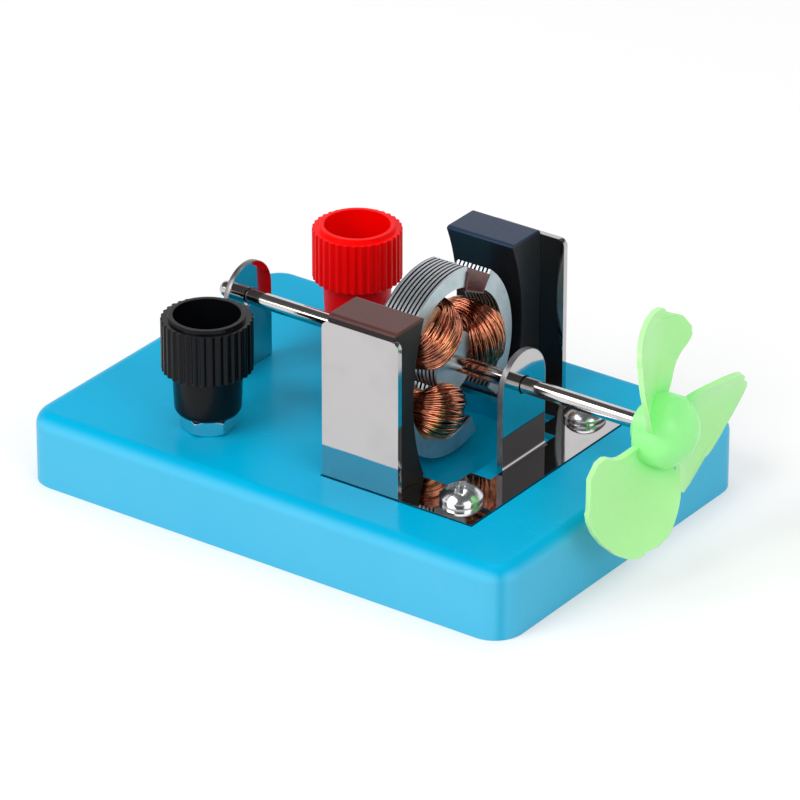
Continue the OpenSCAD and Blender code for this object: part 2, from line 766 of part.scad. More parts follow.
// End wires that run from each winding to the commutator
module coil_end_wires() {
    coil_depth = 0.9;
    coil_lap = 0.4;
    segment_lap = 0.3;
    dx = coil_rear_x + coil_lap - segment_front_x;
    dr = coil_mid_r - coil_h / 2 + coil_depth - lead_foot_r;
    tilt = atan2(dx, dr);
    color([0.80, 0.42, 0.24]) for (a = pole_angles)
        translate([segment_front_x - segment_lap, 0, axis_z]) rotate([a - 90, 0, 0])
            translate([0, 0, lead_foot_r]) rotate([0, tilt, 0])
                cylinder(d = lead_d, h = norm([dx, dr]), $fn = 24);
}

// ---------- commutator and brushes ----------

module commutator_sleeve() {
    color([0.30, 0.17, 0.12]) difference() {
        union() {
            along_shaft(ring_rear_x, rotor_rear_x - ring_rear_x, commutator_d - 2 * segment_t);
            along_shaft(segment_front_x, sleeve_front_l, commutator_d - segment_t);
        }
        along_shaft(ring_rear_x - cut, rotor_rear_x - ring_rear_x + 2 * cut, shaft_d);
    }
}

module commutator_segments() {
    half = 60 - segment_gap_angle / 2;
    far = commutator_d;
    color([0.80, 0.45, 0.26]) across_shaft(segment_rear_x, segment_l) for (a = pole_angles) rotate(a)
        intersection() {
            difference() {
                circle(d = commutator_d);
                circle(d = commutator_d - 2 * segment_t);
            }
            polygon([[0, 0], [far * cos(half), -far * sin(half)], [2 * far, 0],
                [far * cos(half), far * sin(half)]]);
        }
}

module commutator_ring() {
    color([0.30, 0.17, 0.12]) across_shaft(ring_rear_x, ring_l) difference() {
        circle(d = commutator_d);
        circle(d = commutator_d - 2 * segment_t);
    }
}

// One brush: an upright spring strip beside the commutator, its foot screwed to the base
module brush(s) {
    h = axis_z + brush_over - base_h;
    lip_rise = 0.8;
    lip_out = 0.7;
    lip_edge = 0.2;
    lip_back = 0.5;
    color([0.83, 0.55, 0.30]) difference() {
        translate([brush_x - brush_w / 2, 0, 0]) rotate([90, 0, 90]) linear_extrude(brush_w)
            polygon([for (p = [[0, 0], [brush_foot_l, 0], [brush_foot_l, brush_t], [brush_t, brush_t],
                [brush_t, h - lip_rise], [brush_t + lip_out, h], [lip_out, h + lip_edge], [0, h - lip_back]])
                [s * (brush_face_y + p[0]), base_h + p[1]]]);
        translate([brush_x, s * brush_screw_y, base_h - cut])
            cylinder(d = brush_hole_d, h = brush_t + 2 * cut);
    }
}

module black_brush() {
    brush(-1);
}

module red_brush() {
    brush(1);
}

module brush_screws() {
    color([0.80, 0.81, 0.83]) for (y = [-1, 1]) translate([brush_x, y * brush_screw_y, 0])
        pan_screw(base_h + brush_t, strip_under_z - brush_nut_h - screw_tail, brush_screw_d,
            brush_head_d, brush_head_h);
}

module brush_nuts() {
    color([0.80, 0.81, 0.83]) for (y = [-1, 1]) translate([brush_x, y * brush_screw_y, 0])
        nut_under(strip_under_z, brush_nut_af, brush_nut_h, brush_nut_bore_d);
}

// Contact strip under the base's top, from a post's stud to its brush's screw
module contact_strip(s) {
    run = [brush_x - post_x, s * (brush_screw_y - post_y)];
    color([0.80, 0.66, 0.34]) translate([post_x, s * post_y, strip_under_z]) linear_extrude(strip_t)
        rotate(atan2(run[1], run[0])) difference() {
            union() {
                translate([0, -strip_w / 2]) square([norm(run), strip_w]);
                circle(d = strip_w);
                translate([norm(run), 0]) circle(d = strip_w);
            }
            circle(d = screw_hole_d);
            translate([norm(run), 0]) circle(d = brush_hole_d);
        }
}

module black_contact_strip() {
    contact_strip(-1);
}

module red_contact_strip() {
    contact_strip(1);
}

// ---------- screw posts ----------

module post_stud(s) {
    foot_z = strip_under_z - nut_h - screw_tail;
    color([0.80, 0.81, 0.83]) translate([post_x, s * post_y, foot_z])
        cylinder(d = screw_d, h = stud_top_z - foot_z);
}

module black_post_stud() {
    post_stud(-1);
}

module red_post_stud() {
    post_stud(1);
}

// Nuts between the caps and the base, as they were left turned
module post_seat_nuts() {
    nut_turn = 8.7;
    color([0.80, 0.81, 0.83]) for (y = [-1, 1]) translate([post_x, y * post_y, 0])
        rotate([0, 0, nut_turn]) nut_under(cap_base_z, post_nut_af, post_nut_h, nut_bore_d);
}

// Nuts that hold the studs under the base
module post_under_nuts() {
    color([0.80, 0.81, 0.83]) for (y = [-1, 1]) translate([post_x, y * post_y, 0])
        nut_under(strip_under_z, nut_af, nut_h, nut_bore_d);
}

// Threaded brass insert of a cap
module cap_insert(s) {
    color([0.80, 0.66, 0.34]) translate([post_x, s * post_y, cap_base_z])
        linear_extrude(insert_h) difference() {
            circle(d = insert_d - 2 * thread_gap);
            circle(d = nut_bore_d);
        }
}

module black_cap_insert() {
    cap_insert(-1);
}

module red_cap_insert() {
    cap_insert(1);
}

// Flat drawing of a ribbed ring's outline
module ribbed_disc(d) {
    pitch = 360 / cap_ribs;
    inner = d / 2 - rib_depth;
    polygon([for (i = [0:cap_ribs - 1], q = [[0.10, 0], [0.35, rib_depth], [0.65, rib_depth], [0.90, 0]])
        let (a = (i + q[0]) * pitch, r = inner + q[1]) [r * cos(a), r * sin(a)]]);
}

// Half section of a cap's neck: round lower corner, and straight sides that widen upwards
module neck_section() {
    foot_r = (neck_d - neck_taper) / 2;
    flat_r = foot_r - neck_round;
    top = neck_h + lap;
    polygon([[0, 0], [flat_r, 0], [foot_r, neck_round], [neck_d / 2, neck_h], [neck_d / 2, top], [0, top]]);
    intersection() {
        translate([flat_r, neck_round]) circle(neck_round);
        translate([flat_r, 0]) square(neck_round);
    }
}

// Plastic cap of a post
module cap(s) {
    translate([post_x, s * post_y, 0]) difference() {
        union() {
            translate([0, 0, knurl_base_z]) linear_extrude(cap_knurl_h) ribbed_disc(cap_d);
            translate([0, 0, knurl_top_z]) cylinder(d = hollow_d + 2 * lip_t, h = lip_h);
            translate([0, 0, cap_base_z]) rotate_extrude() neck_section();
        }
        translate([0, 0, hollow_floor_z]) cylinder(d = hollow_d, h = hollow_depth + lip_h + cut);
        translate([0, 0, cap_base_z - cut]) cylinder(d = insert_d, h = insert_h + 2 * cut);
    }
}

module black_cap() {
    color([0.07, 0.07, 0.08]) cap(-1);
}

module red_cap() {
    color([0.82, 0.02, 0.02]) cap(1);
}

// ---------- fan ----------

// Value at x of the smooth curve through the points
function through(pts, x) = let (n = len(pts) - 1) [for (i = 0, sum = 0; i <= n + 1;
    sum = sum + (i <= n ? pts[i][1] * weight(pts, i, x, n) : 0), i = i + 1) if (i == n + 1) sum][0];

// Share of point i in that curve
function weight(pts, i, x, j) = j < 0 ? 1
    : (j == i ? 1 : (x - pts[j][0]) / (pts[i][0] - pts[j][0])) * weight(pts, i, x, j - 1);

// Radius of a row of the grid
function row_radius(i) = i <= blade_rows ? blade_root_r + blade_span * i / blade_rows
    : blade_round_r + (fan_r - blade_round_r) * sin(last_row_angle * (i - blade_rows) / tip_rows);

// Angle from the blade's middle line, c from -1 at the trailing edge to 1 at the leading edge
function point_angle(i, c) = let (r = row_radius(i), s = min(1, (r - blade_root_r) / blade_span),
    t = max(0, (r - blade_round_r) / (fan_r - blade_round_r)), shrink = sqrt(1 - t * t),
    from = -through(trail_edge, s), to = through(lead_edge, s), q = from + (to - from) * (c + 1) / 2)
    blade_tip_angle + (q - blade_tip_angle) * shrink;

// How far a point of the blade's middle surface stands forwards, a in radians
function blade_rise(r, a) = let (w = (r - blade_root_r) / (fan_r - blade_root_r))
    blade_pitch * r * a + (root_cup + (blade_cup - root_cup) * w) * a * a - root_curl * (1 - w) * a * a * a
    + blade_rake * w;

// Point of the grid, lifted off the middle surface by side times half the thickness
function blade_point(i, c, side) = let (r = row_radius(i), q = point_angle(i, c), a = q * PI / 180,
    slope = atan((blade_rise(r, a + slope_step) - blade_rise(r, a - slope_step)) / (2 * slope_step * r)),
    turn = q - side * blade_t / 2 * sin(slope) / r * 180 / PI)
    [blade_rise(r, a) + side * blade_t / 2 * cos(slope), r * cos(turn), r * sin(turn)];

// Blade as one closed skin over a grid of rows and columns
module blade() {
    nr = blade_rows + tip_rows;
    nc = blade_cols;
    stride = nc + 1;
    sheet = (nr + 1) * stride;
    points = [for (side = [1, -1], i = [0:nr], j = [0:nc]) blade_point(i, -1 + 2 * j / nc, side)];
    faces = concat(
        [for (i = [0:nr - 1], j = [0:nc - 1], k = [0, 1]) let (a = i * stride + j)
            k == 0 ? [a, a + 1, a + stride + 1] : [a, a + stride + 1, a + stride]],
        [for (i = [0:nr - 1], j = [0:nc - 1], k = [0, 1]) let (a = sheet + i * stride + j)
            k == 0 ? [a, a + stride + 1, a + 1] : [a, a + stride, a + stride + 1]],
        [for (i = [0:nr - 1], k = [0, 1]) let (a = i * stride, b = a + stride)
            k == 0 ? [a, b, sheet + b] : [a, sheet + b, sheet + a]],
        [for (i = [0:nr - 1], k = [0, 1]) let (a = i * stride + nc, b = a + stride)
            k == 0 ? [a, sheet + b, b] : [a, sheet + a, sheet + b]],
        [for (j = [0:nc - 1], k = [0, 1]) let (a = j, b = j + 1)
            k == 0 ? [a, sheet + b, b] : [a, sheet + a, sheet + b]],
        [for (j = [0:nc - 1], k = [0, 1]) let (a = nr * stride + j, b = a + 1)
            k == 0 ? [a, b, sheet + b] : [a, sheet + b, sheet + a]]);
    polyhedron(points, faces);
}

module fan() {
    color([0.62, 0.95, 0.58]) difference() {
        union() {
            translate([fan_rear_x, 0, axis_z]) rotate([0, 90, 0]) rotate_extrude() {
                square([fan_collar_r, fan_collar_l + lap]);
                translate([0, fan_collar_l]) square([fan_hub_r, fan_hub_l]);
                intersection() {
                    translate([0, fan_collar_l + fan_hub_l]) square([fan_hub_r, fan_dome_h]);
                    translate([0, fan_collar_l + fan_hub_l + dome_drop(2 * fan_hub_r, fan_dome_h)])
                        circle(dome_radius(2 * fan_hub_r, fan_dome_h));
                }
            }
            for (i = [0:blade_count - 1]) translate([blade_x, 0, axis_z])
                rotate([first_blade_angle + i * 360 / blade_count, 0, 0]) blade();
        }
        along_shaft(fan_rear_x - cut, shaft_front_x - fan_rear_x + cut, shaft_d);
    }
}

base();
yoke_plate();
near_magnet();
far_magnet();
yoke_screws();
yoke_nuts();
rear_bearing_bracket();
bracket_screw();
bracket_nut();
shaft();
rotor_laminations();
pole_insulators();
slot_liner();
coil_near();
coil_low();
coil_far();
coil_end_wires();
commutator_sleeve();
commutator_segments();
commutator_ring();
black_brush();
red_brush();
brush_screws();
brush_nuts();
black_contact_strip();
red_contact_strip();
black_post_stud();
red_post_stud();
post_seat_nuts();
post_under_nuts();
black_cap_insert();
red_cap_insert();
black_cap();
red_cap();
fan();
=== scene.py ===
"""Looks of a demonstration electric motor, built around its packed construction model.

Lengths are in metres, in the construction model's frame: the origin is the middle of the base's underside,
+X runs along the shaft to the fan, +Y points to the red post and +Z is up.
"""

import json
import logging
import math
import random
from collections.abc import Sequence
from dataclasses import dataclass, field
from enum import Enum
from typing import Any

import bpy
from mathutils import Matrix, Quaternion, Vector

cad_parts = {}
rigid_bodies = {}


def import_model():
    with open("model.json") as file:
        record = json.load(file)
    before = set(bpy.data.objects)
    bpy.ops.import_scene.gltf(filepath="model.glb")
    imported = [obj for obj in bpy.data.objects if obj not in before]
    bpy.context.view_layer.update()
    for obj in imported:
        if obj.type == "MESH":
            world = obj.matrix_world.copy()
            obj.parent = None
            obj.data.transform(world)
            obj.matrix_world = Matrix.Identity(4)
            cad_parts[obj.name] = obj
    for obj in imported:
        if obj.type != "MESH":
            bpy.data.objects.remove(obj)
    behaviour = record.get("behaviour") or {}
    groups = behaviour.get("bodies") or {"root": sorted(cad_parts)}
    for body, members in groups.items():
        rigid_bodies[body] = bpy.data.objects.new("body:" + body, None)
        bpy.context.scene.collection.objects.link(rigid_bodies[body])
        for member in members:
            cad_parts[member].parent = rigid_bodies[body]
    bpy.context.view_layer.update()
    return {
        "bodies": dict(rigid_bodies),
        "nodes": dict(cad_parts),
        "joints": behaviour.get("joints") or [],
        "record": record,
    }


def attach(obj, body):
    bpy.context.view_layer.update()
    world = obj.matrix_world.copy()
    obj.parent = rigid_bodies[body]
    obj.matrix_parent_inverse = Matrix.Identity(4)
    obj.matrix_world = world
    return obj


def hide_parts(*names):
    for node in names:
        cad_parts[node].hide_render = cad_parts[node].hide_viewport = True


Colour = tuple[float, float, float, float]
Triple = tuple[float, float, float]

MM = 0.001
LOG = logging.getLogger("motor")

# Sizes and places of the construction model that patterns and windings follow
BASE_L = 95 * MM
BASE_W = 68 * MM
BASE_H = 12.6 * MM
PLATE_TOP_Z = 12.7 * MM
MAGNET_TOP_Z = 41 * MM
AXIS_Z = 25.8 * MM
ROTOR_MIDDLE_X = 10.9 * MM


class Body(Enum):
    """The bodies of the construction model that new pieces move with."""

    BASE = "base_assembly"
    ROTOR = "rotor_assembly"
    BLACK_KNOB = "black_knob"
    RED_KNOB = "red_knob"


# ---------- materials ----------


class Signal:
    """A number that changes over a surface, written with ordinary operators."""

    def __init__(self, palette: "Palette", socket: bpy.types.NodeSocket) -> None:
        """Wraps a socket.

        Args:
            palette: The material that the socket belongs to.
            socket: The output socket that carries the number.
        """
        self.palette = palette
        self.socket = socket

    def _maths(self, operation: str, first: Any, second: Any) -> "Signal":
        """Adds one Math node.

        Args:
            operation: The node's operation.
            first: Its first value or link.
            second: Its second value or link.

        Returns:
            The node's result.
        """
        made = self.palette.node("ShaderNodeMath", {"operation": operation}, {0: first, 1: second})
        return Signal(self.palette, made.outputs[0])

    def __add__(self, other: Any) -> "Signal":
        """Sum."""
        return self._maths("ADD", self, other)

    def __radd__(self, other: Any) -> "Signal":
        """Sum, number first."""
        return self._maths("ADD", other, self)

    def __sub__(self, other: Any) -> "Signal":
        """Difference."""
        return self._maths("SUBTRACT", self, other)

    def __rsub__(self, other: Any) -> "Signal":
        """Difference, number first."""
        return self._maths("SUBTRACT", other, self)

    def __mul__(self, other: Any) -> "Signal":
        """Product."""
        return self._maths("MULTIPLY", self, other)

    def __pow__(self, other: Any) -> "Signal":
        """Power."""
        return self._maths("POWER", self, other)

    def __mod__(self, other: Any) -> "Signal":
        """Remainder, never negative."""
        return self._maths("FLOORED_MODULO", self, other)

    def most(self, other: Any) -> "Signal":
        """The larger of two numbers."""
        return self._maths("MAXIMUM", self, other)

    def below(self, limit: float) -> "Signal":
        """1 where the number is below the limit, and 0 elsewhere."""
        return self._maths("LESS_THAN", self, limit)

    def between(self, low: float, high: float) -> "Signal":
        """Rises smoothly from 0 at low to 1 at high.

        Args:
            low: Where the rise starts.
            high: Where the rise ends.

        Returns:
            The eased number.
        """
        made = self.palette.node(
            "ShaderNodeMapRange",
            {"interpolation_type": "SMOOTHSTEP"},
            {"Value": self, "From Min": low, "From Max": high},
        )
        return Signal(self.palette, made.outputs[0])


class Palette:
    """The nodes of one material, or of the surroundings, while they are being mixed."""

    def __init__(self, owner: bpy.types.Material | bpy.types.World) -> None:
        """Starts with no nodes.

        Args:
            owner: The material or the world that the nodes belong to.
        """
        owner.use_nodes = True
        self.tree = owner.node_tree
        self.tree.nodes.clear()

    def node(
        self,
        kind: str,
        settings: dict[str, Any] | None = None,
        inputs: dict[str | int, Any] | None = None,
    ) -> bpy.types.Node:
        """Adds a node.

        Args:
            kind: The node's type.
            settings: Its own settings, which are set first.
            inputs: The value or link of each named or numbered socket.

        Returns:
            The node.
        """
        made = self.tree.nodes.new(kind)
        for key, value in (settings or {}).items():
            setattr(made, key, value)
        for key, value in (inputs or {}).items():
            if isinstance(value, Signal):
                value = value.socket
            if isinstance(value, bpy.types.NodeSocket):
                self.tree.links.new(value, made.inputs[key])
            else:
                made.inputs[key].default_value = value
        return made

    def place(
        self, stretch: Triple = (1, 1, 1), middle: Triple = (0, 0, 0)
    ) -> bpy.types.NodeSocket:
        """Object coordinates, as a pattern reads them.

        Args:
            stretch: Scale of the pattern's coordinates along each axis.
            middle: The point that becomes the pattern's own origin.

        Returns:
            The vector socket.
        """
        source = self.node("ShaderNodeTexCoord").outputs["Object"]
        mapping = self.node(
            "ShaderNodeMapping",
            {"vector_type": "TEXTURE"},
            {
                "Vector": source,
                "Location": middle,
                "Scale": tuple(1 / s for s in stretch),
            },
        )
        return mapping.outputs[0]

    def axes(self, at: bpy.types.NodeSocket) -> tuple[Signal, Signal, Signal]:
        """The three parts of a place.

        Args:
            at: The vector socket.

        Returns:
            Its x, y and z.
        """
        made = self.node("ShaderNodeSeparateXYZ", {}, {0: at})
        return tuple(Signal(self, made.outputs[i]) for i in range(3))

    def noise(
        self, at: bpy.types.NodeSocket, scale: float, detail: float = 2, rough: float = 0.5
    ) -> Signal:
        """Soft random clouds.

        Args:
            at: The place that is read.
            scale: How many clouds there are in a metre.
            detail: Number of finer layers.
            rough: Strength of the finer layers.

        Returns:
            A number around 0.5.
        """
        made = self.node(
            "ShaderNodeTexNoise",
            {},
            {"Vector": at, "Scale": scale, "Detail": detail, "Roughness": rough},
        )
        return Signal(self, made.outputs[0])

    def cells(self, at: bpy.types.NodeSocket, scale: float) -> Signal:
        """Distance to the nearest of many scattered points.

        Args:
            at: The place that is read.
            scale: How many points there are along a metre.

        Returns:
            The distance, from 0 at a point.
        """
        made = self.node("ShaderNodeTexVoronoi", {}, {"Vector": at, "Scale": scale})
        return Signal(self, made.outputs[0])

    def blend(self, share: Any, first: Any, second: Any) -> bpy.types.NodeSocket:
        """Mixes two colours.

        Args:
            share: How much of the second colour there is.
            first: The first colour.
            second: The second colour.

        Returns:
            The colour socket.
        """
        made = self.node("ShaderNodeMix", {"data_type": "RGBA"}, {0: share, 6: first, 7: second})
        return made.outputs[2]

    def bump(self, height: Signal, depth: float) -> bpy.types.NodeSocket:
        """Surface normal of a fine relief.

        Args:
            height: The relief, from 0 to 1.
            depth: Its depth in metres.

        Returns:
            The normal socket.
        """
        made = self.node(
            "ShaderNodeBump", {}, {"Height": height, "Distance": depth, "Strength": 1}
        )
        return made.outputs[0]

    def surface(self, **sockets: Any) -> None:
        """Adds the shader and the output.

        Args:
            sockets: Values or links of the shader's sockets, with _ for each space.
        """
        inputs = {key.replace("_", " "): value for key, value in sockets.items()}
        shader = self.node("ShaderNodeBsdfPrincipled", {}, inputs)
        self.node("ShaderNodeOutputMaterial", {}, {"Surface": shader.outputs[0]})


@dataclass(frozen=True)
class Finish:
    """How one kind of surface looks."""

    name: str

    def mix(self, palette: Palette) -> None:
        """Adds the nodes of the finish."""
        raise NotImplementedError

    def material(self) -> bpy.types.Material:
        """The finish's material, mixed at its first use.

        Returns:
            The material.
        """
        name = f"{self.name}_finish"
        found = bpy.data.materials.get(name)
        if found is None:
            found = bpy.data.materials.new(name)
            self.mix(Palette(found))
        return found


@dataclass(frozen=True)
class MouldedPlastic(Finish):
    """Glossy moulded plastic with a faint cloudiness, fine grain and light scuffs, and on the base's outer
    sides a painted sheen.

    Attributes:
        colour: The colour of most of it.
        deep: The colour of its darker clouds.
        roughness: Its least roughness.
        gloss: Strength of its shine.
        soft_light: How much light passes under its skin.
        sheen_colour: The colour of the painted sheen on the base's outer sides, lighter than the top,
            where it has one.
        sheen_x: Half length at which the painted sheen is whole.
        sheen_y: Half width at which the painted sheen is whole.
        sheen_z: Height at which the painted sheen ends.
        sheen_fade: How far the painted sheen fades inwards.
        sheen_drop: How far it fades downwards from its end.
        grain_depth: Depth of the moulded grain.
    """

    colour: Colour
    deep: Colour
    roughness: float
    gloss: float
    soft_light: float = 0.0
    sheen_colour: Colour | None = None
    sheen_x: float = BASE_L / 2 - 0.7 * MM
    sheen_y: float = BASE_W / 2 - 0.7 * MM
    sheen_z: float = BASE_H - 0.3 * MM
    sheen_fade: float = 1.3 * MM
    sheen_drop: float = 1.6 * MM
    grain_depth: float = 0.008 * MM

    def mix(self, palette: Palette) -> None:
        """Adds the nodes of the finish.

        Args:
            palette: The material that is being mixed.
        """
        at = palette.place()
        cloud = palette.noise(at, 38, 3)
        grain = palette.noise(at, 1500, 3)
        scuff = palette.noise(palette.place((1, 5, 2)), 240, 4, 0.7).between(0.58, 0.74)
        body = palette.blend(cloud.between(0.3, 0.7), self.colour, self.deep)
        if self.sheen_colour:
            # Painted sheen: the outer sides are lightened below the top edge, standing for their
            # reflection of the white table.
            side = self.sheen_mask(palette, at)
            body = palette.blend(side * (0.45 + cloud * 0.3), body, self.sheen_colour)
        palette.surface(
            Base_Color=body,
            Roughness=self.roughness + cloud * 0.06 + scuff * 0.08,
            Specular_IOR_Level=self.gloss,
            Normal=palette.bump(grain, self.grain_depth),
            Subsurface_Weight=self.soft_light,
            Subsurface_Radius=(1.0, 1.0, 1.0),
            Subsurface_Scale=1.2 * MM,
        )

    def sheen_mask(self, palette: Palette, at: bpy.types.NodeSocket) -> Signal:
        """Where the painted sheen lies: the base's outer sides.

        Args:
            palette: The material that is being mixed.
            at: The place that is read.

        Returns:
            1 on the sides, fading to 0 towards the top and the inside.
        """
        x, y, height = palette.axes(at)
        inner_x = 1 - ((x * x) ** 0.5).between(self.sheen_x - self.sheen_fade, self.sheen_x)
        inner_y = 1 - ((y * y) ** 0.5).between(self.sheen_y - self.sheen_fade, self.sheen_y)
        return (1 - inner_x * inner_y) * (1 - height.between(self.sheen_z - self.sheen_drop, self.sheen_z))


@dataclass(frozen=True)
class ClearGreenPlastic(Finish):
    """Milky see-through plastic of the fan, deeper in colour where it is thick.

    Attributes:
        thin: The colour of the blades.
        thick: The colour of the hub.
        inner_r: Radius within which it is thick.
        outer_r: Radius beyond which it is thin.
        unevenness: How much the clouds shift the change between them.
        grain_depth: Depth of its grain.
    """

    thin: Colour
    thick: Colour
    inner_r: float = 5.2 * MM
    outer_r: float = 9.5 * MM
    unevenness: float = 3 * MM
    grain_depth: float = 0.006 * MM

    def mix(self, palette: Palette) -> None:
        """Adds the nodes of the finish.

        Args:
            palette: The material that is being mixed.
        """
        at = palette.place(middle=(0, 0, AXIS_Z))
        _, y, z = palette.axes(at)
        radius = (y * y + z * z) ** 0.5
        cloud = palette.noise(at, 70, 3)
        flow = palette.noise(palette.place((4, 1, 1), (0, 0, AXIS_Z)), 130, 2)
        shifted = radius + (cloud - 0.5) * self.unevenness
        thickness = 1 - shifted.between(self.inner_r, self.outer_r)
        palette.surface(
            Base_Color=palette.blend(thickness * 0.85 + flow * 0.1, self.thin, self.thick),
            Roughness=0.2 + cloud * 0.1,
            Specular_IOR_Level=0.35,
            Normal=palette.bump(palette.noise(at, 900, 3), self.grain_depth),
            Subsurface_Weight=0.5,
            Subsurface_Radius=(0.4, 1.0, 0.35),
            Subsurface_Scale=3 * MM,
        )


@dataclass(frozen=True)
class Metal(Finish):
    """Bare or plated metal with smudges, fine lines and dulled places.

    Attributes:
        colour: The colour where it is clean.
        dull: The colour where it is dulled.
        roughness: Its least roughness.
        smudge: How much rougher the dulled places are.
        lines: How the fine lines are squeezed along each axis.
        line_scale: How many lines there are in a metre.
        line_depth: Depth of the lines.
        wave_depth: Depth of the sheet's slow waves.
        dullness: Strength of the dulled colour.
        tab_r: Radius of a bearing tab's round top, where the sheet has sheared edges.
        tab_wall: How far outside that radius the edges are looked for.
        torn_colour: The colour of the sheared edges.
        bend_top: Height above the plate at which the sheared edges start.
    """

    colour: Colour
    dull: Colour
    roughness: float
    smudge: float = 0.08
    lines: Triple = (1, 1, 1)
    line_scale: float = 400
    line_depth: float = 0.004 * MM
    wave_depth: float = 0.0
    dullness: float = 0.5
    tab_r: float = 0.0
    tab_wall: float = 1 * MM
    torn_colour: Colour = (0.24, 0.23, 0.24, 1)
    bend_top: float = 0.7 * MM

    def mix(self, palette: Palette) -> None:
        """Adds the nodes of the finish.

        Args:
            palette: The material that is being mixed.
        """
        at = palette.place()
        cloud = palette.noise(at, 120, 4, 0.6)
        line = palette.noise(palette.place(self.lines), self.line_scale, 3, 0.6)
        wave = palette.noise(at, 90, 1)
        patch = cloud.between(0.45, 0.75)
        relief = line * (self.line_depth / MM) + wave * (self.wave_depth / MM)
        colour = palette.blend(patch * self.dullness, self.colour, self.dull)
        roughness = self.roughness + patch * self.smudge + (line - 0.5) * self.smudge
        if self.tab_r:
            torn = palette.noise(palette.place((5, 1, 1)), 900, 3, 0.7)
            cut = self.cut_edge(palette)
            colour = palette.blend(cut * (0.4 + torn), colour, self.torn_colour)
            roughness = roughness + cut * 0.34
            relief = relief + cut * torn * 0.03
        palette.surface(
            Base_Color=colour,
            Metallic=1.0,
            Roughness=roughness,
            Normal=palette.bump(relief, MM),
        )

    def cut_edge(self, palette: Palette) -> Signal:
        """Where the bearing tabs' sheared edges are.

        Args:
            palette: The material that is being mixed.

        Returns:
            1 on the edges and 0 elsewhere.
        """
        _, y, z = palette.axes(palette.place(middle=(0, 0, AXIS_Z)))
        rise = z * (1 - z.below(0))
        radius = (y * y + rise * rise) ** 0.5
        start_z = PLATE_TOP_Z + self.bend_top - AXIS_Z
        above_bend = z.between(start_z, start_z + 0.2 * MM)
        near_tab = radius.below(self.tab_r + self.tab_wall) * above_bend
        return radius.between(self.tab_r - 0.1 * MM, self.tab_r - 0.04 * MM) * near_tab


@dataclass(frozen=True)
class StackedSteel(Finish):
    """Punched rotor sheets: light blue-grey satin faces, bright ground rim and painted shade in the gaps
    between the sheets.

    Attributes:
        face: The colour of the front face.
        gap_shade: The colour of the painted shade in the gaps between the sheets.
        rim: The colour of the ground rim.
        worn: The colour of the front face's worn places.
        rust: The colour of the rusty specks.
        sheets: Number of sheets.
        sheet_t: Thickness of a sheet together with the space after it.
        gap_t: Width of each line of painted shade between the sheets.
        rust_in_r: Radius at which the specks start.
        rust_out_r: Radius at which they are strongest.
        rim_r: Radius of the ground rim's inner end.
        skin: Depth within which a face counts as the stack's end.
    """

    face: Colour
    gap_shade: Colour
    rim: Colour
    worn: Colour
    rust: Colour
    sheets: int = 9
    sheet_t: float = 0.75 * MM
    gap_t: float = 0.36 * MM
    rust_in_r: float = 12.6 * MM
    rust_out_r: float = 16 * MM
    rim_r: float = 15.7 * MM
    skin: float = 0.05 * MM

    def mix(self, palette: Palette) -> None:
        """Adds the nodes of the finish.

        Args:
            palette: The material that is being mixed.
        """
        stack_l = self.sheets * self.sheet_t
        at = palette.place(middle=(ROTOR_MIDDLE_X - stack_l / 2, 0, AXIS_Z))
        x, y, z = palette.axes(at)
        radius = (y * y + z * z) ** 0.5
        front = x.between(stack_l - self.skin, stack_l - self.skin / 5)
        not_end = (1 - front) * x.between(self.skin / 5, self.skin)
        # Painted shade: the gaps between the sheets are darkened nearly to black and made a little
        # rougher.
        gap_shade = (x % self.sheet_t).below(self.gap_t) * not_end
        ground = radius.between(self.rim_r, self.rim_r + 0.1 * MM) * (1 - front)
        cloud = palette.noise(at, 260, 4, 0.6)
        turning = palette.noise(palette.place((6, 1, 1)), 700, 3, 0.7)
        near_rim = radius.between(self.rust_in_r, self.rust_out_r)
        specks = palette.noise(at, 520, 5, 0.7).between(0.60, 0.74) * near_rim
        worn = palette.blend(cloud.between(0.35, 0.7) * 0.5, self.face, self.worn)
        aged = palette.blend(specks * 0.35, worn, self.rust)
        rimmed = palette.blend(ground * 0.9, aged, self.rim)
        palette.surface(
            Base_Color=palette.blend(gap_shade * 0.96, rimmed, self.gap_shade),
            Metallic=0.9,
            Roughness=0.3 + cloud * 0.12 + turning * 0.08 + gap_shade * 0.2,
            Normal=palette.bump(turning, 0.012 * MM),
        )


@dataclass(frozen=True)
class Ferrite(Finish):
    """Sintered black magnet: satin skin with a fine speckle and a few pits, and a painted reflection on
    its top face.

    Attributes:
        skin: The colour of its skin.
        speck: The colour of the speckle.
        top_reflection: The colour of the painted reflection on its top face.
        reflection_z: Height at which the painted reflection is whole.
        reflection_fade: How far it fades downwards.
        pit_depth: Depth of the pits and the speckle.
    """

    skin: Colour
    speck: Colour
    top_reflection: Colour
    reflection_z: float = MAGNET_TOP_Z - 0.25 * MM
    reflection_fade: float = 0.5 * MM
    pit_depth: float = 0.012 * MM

    def mix(self, palette: Palette) -> None:
        """Adds the nodes of the finish.

        Args:
            palette: The material that is being mixed.
        """
        at = palette.place()
        _, _, height = palette.axes(at)
        # Painted reflection: the top face is tinted to stand for what it mirrors.
        top = height.between(self.reflection_z - self.reflection_fade, self.reflection_z)
        cloud = palette.noise(at, 150, 4, 0.6)
        speck = palette.noise(at, 2400, 3, 0.7).between(0.52, 0.72)
        pit = 1 - palette.cells(at, 420).between(0.04, 0.16)
        body = palette.blend(speck * 0.4 + cloud * 0.25, self.skin, self.speck)
        palette.surface(
            Base_Color=palette.blend(top * (0.75 + cloud * 0.3), body, self.top_reflection),
            Roughness=0.24 + cloud * 0.16 + speck * 0.1,
            Specular_IOR_Level=0.2,
            Normal=palette.bump(speck * 0.35 - pit * 0.8, self.pit_depth),
            Coat_Weight=0.05,
            Coat_Roughness=0.15,
        )


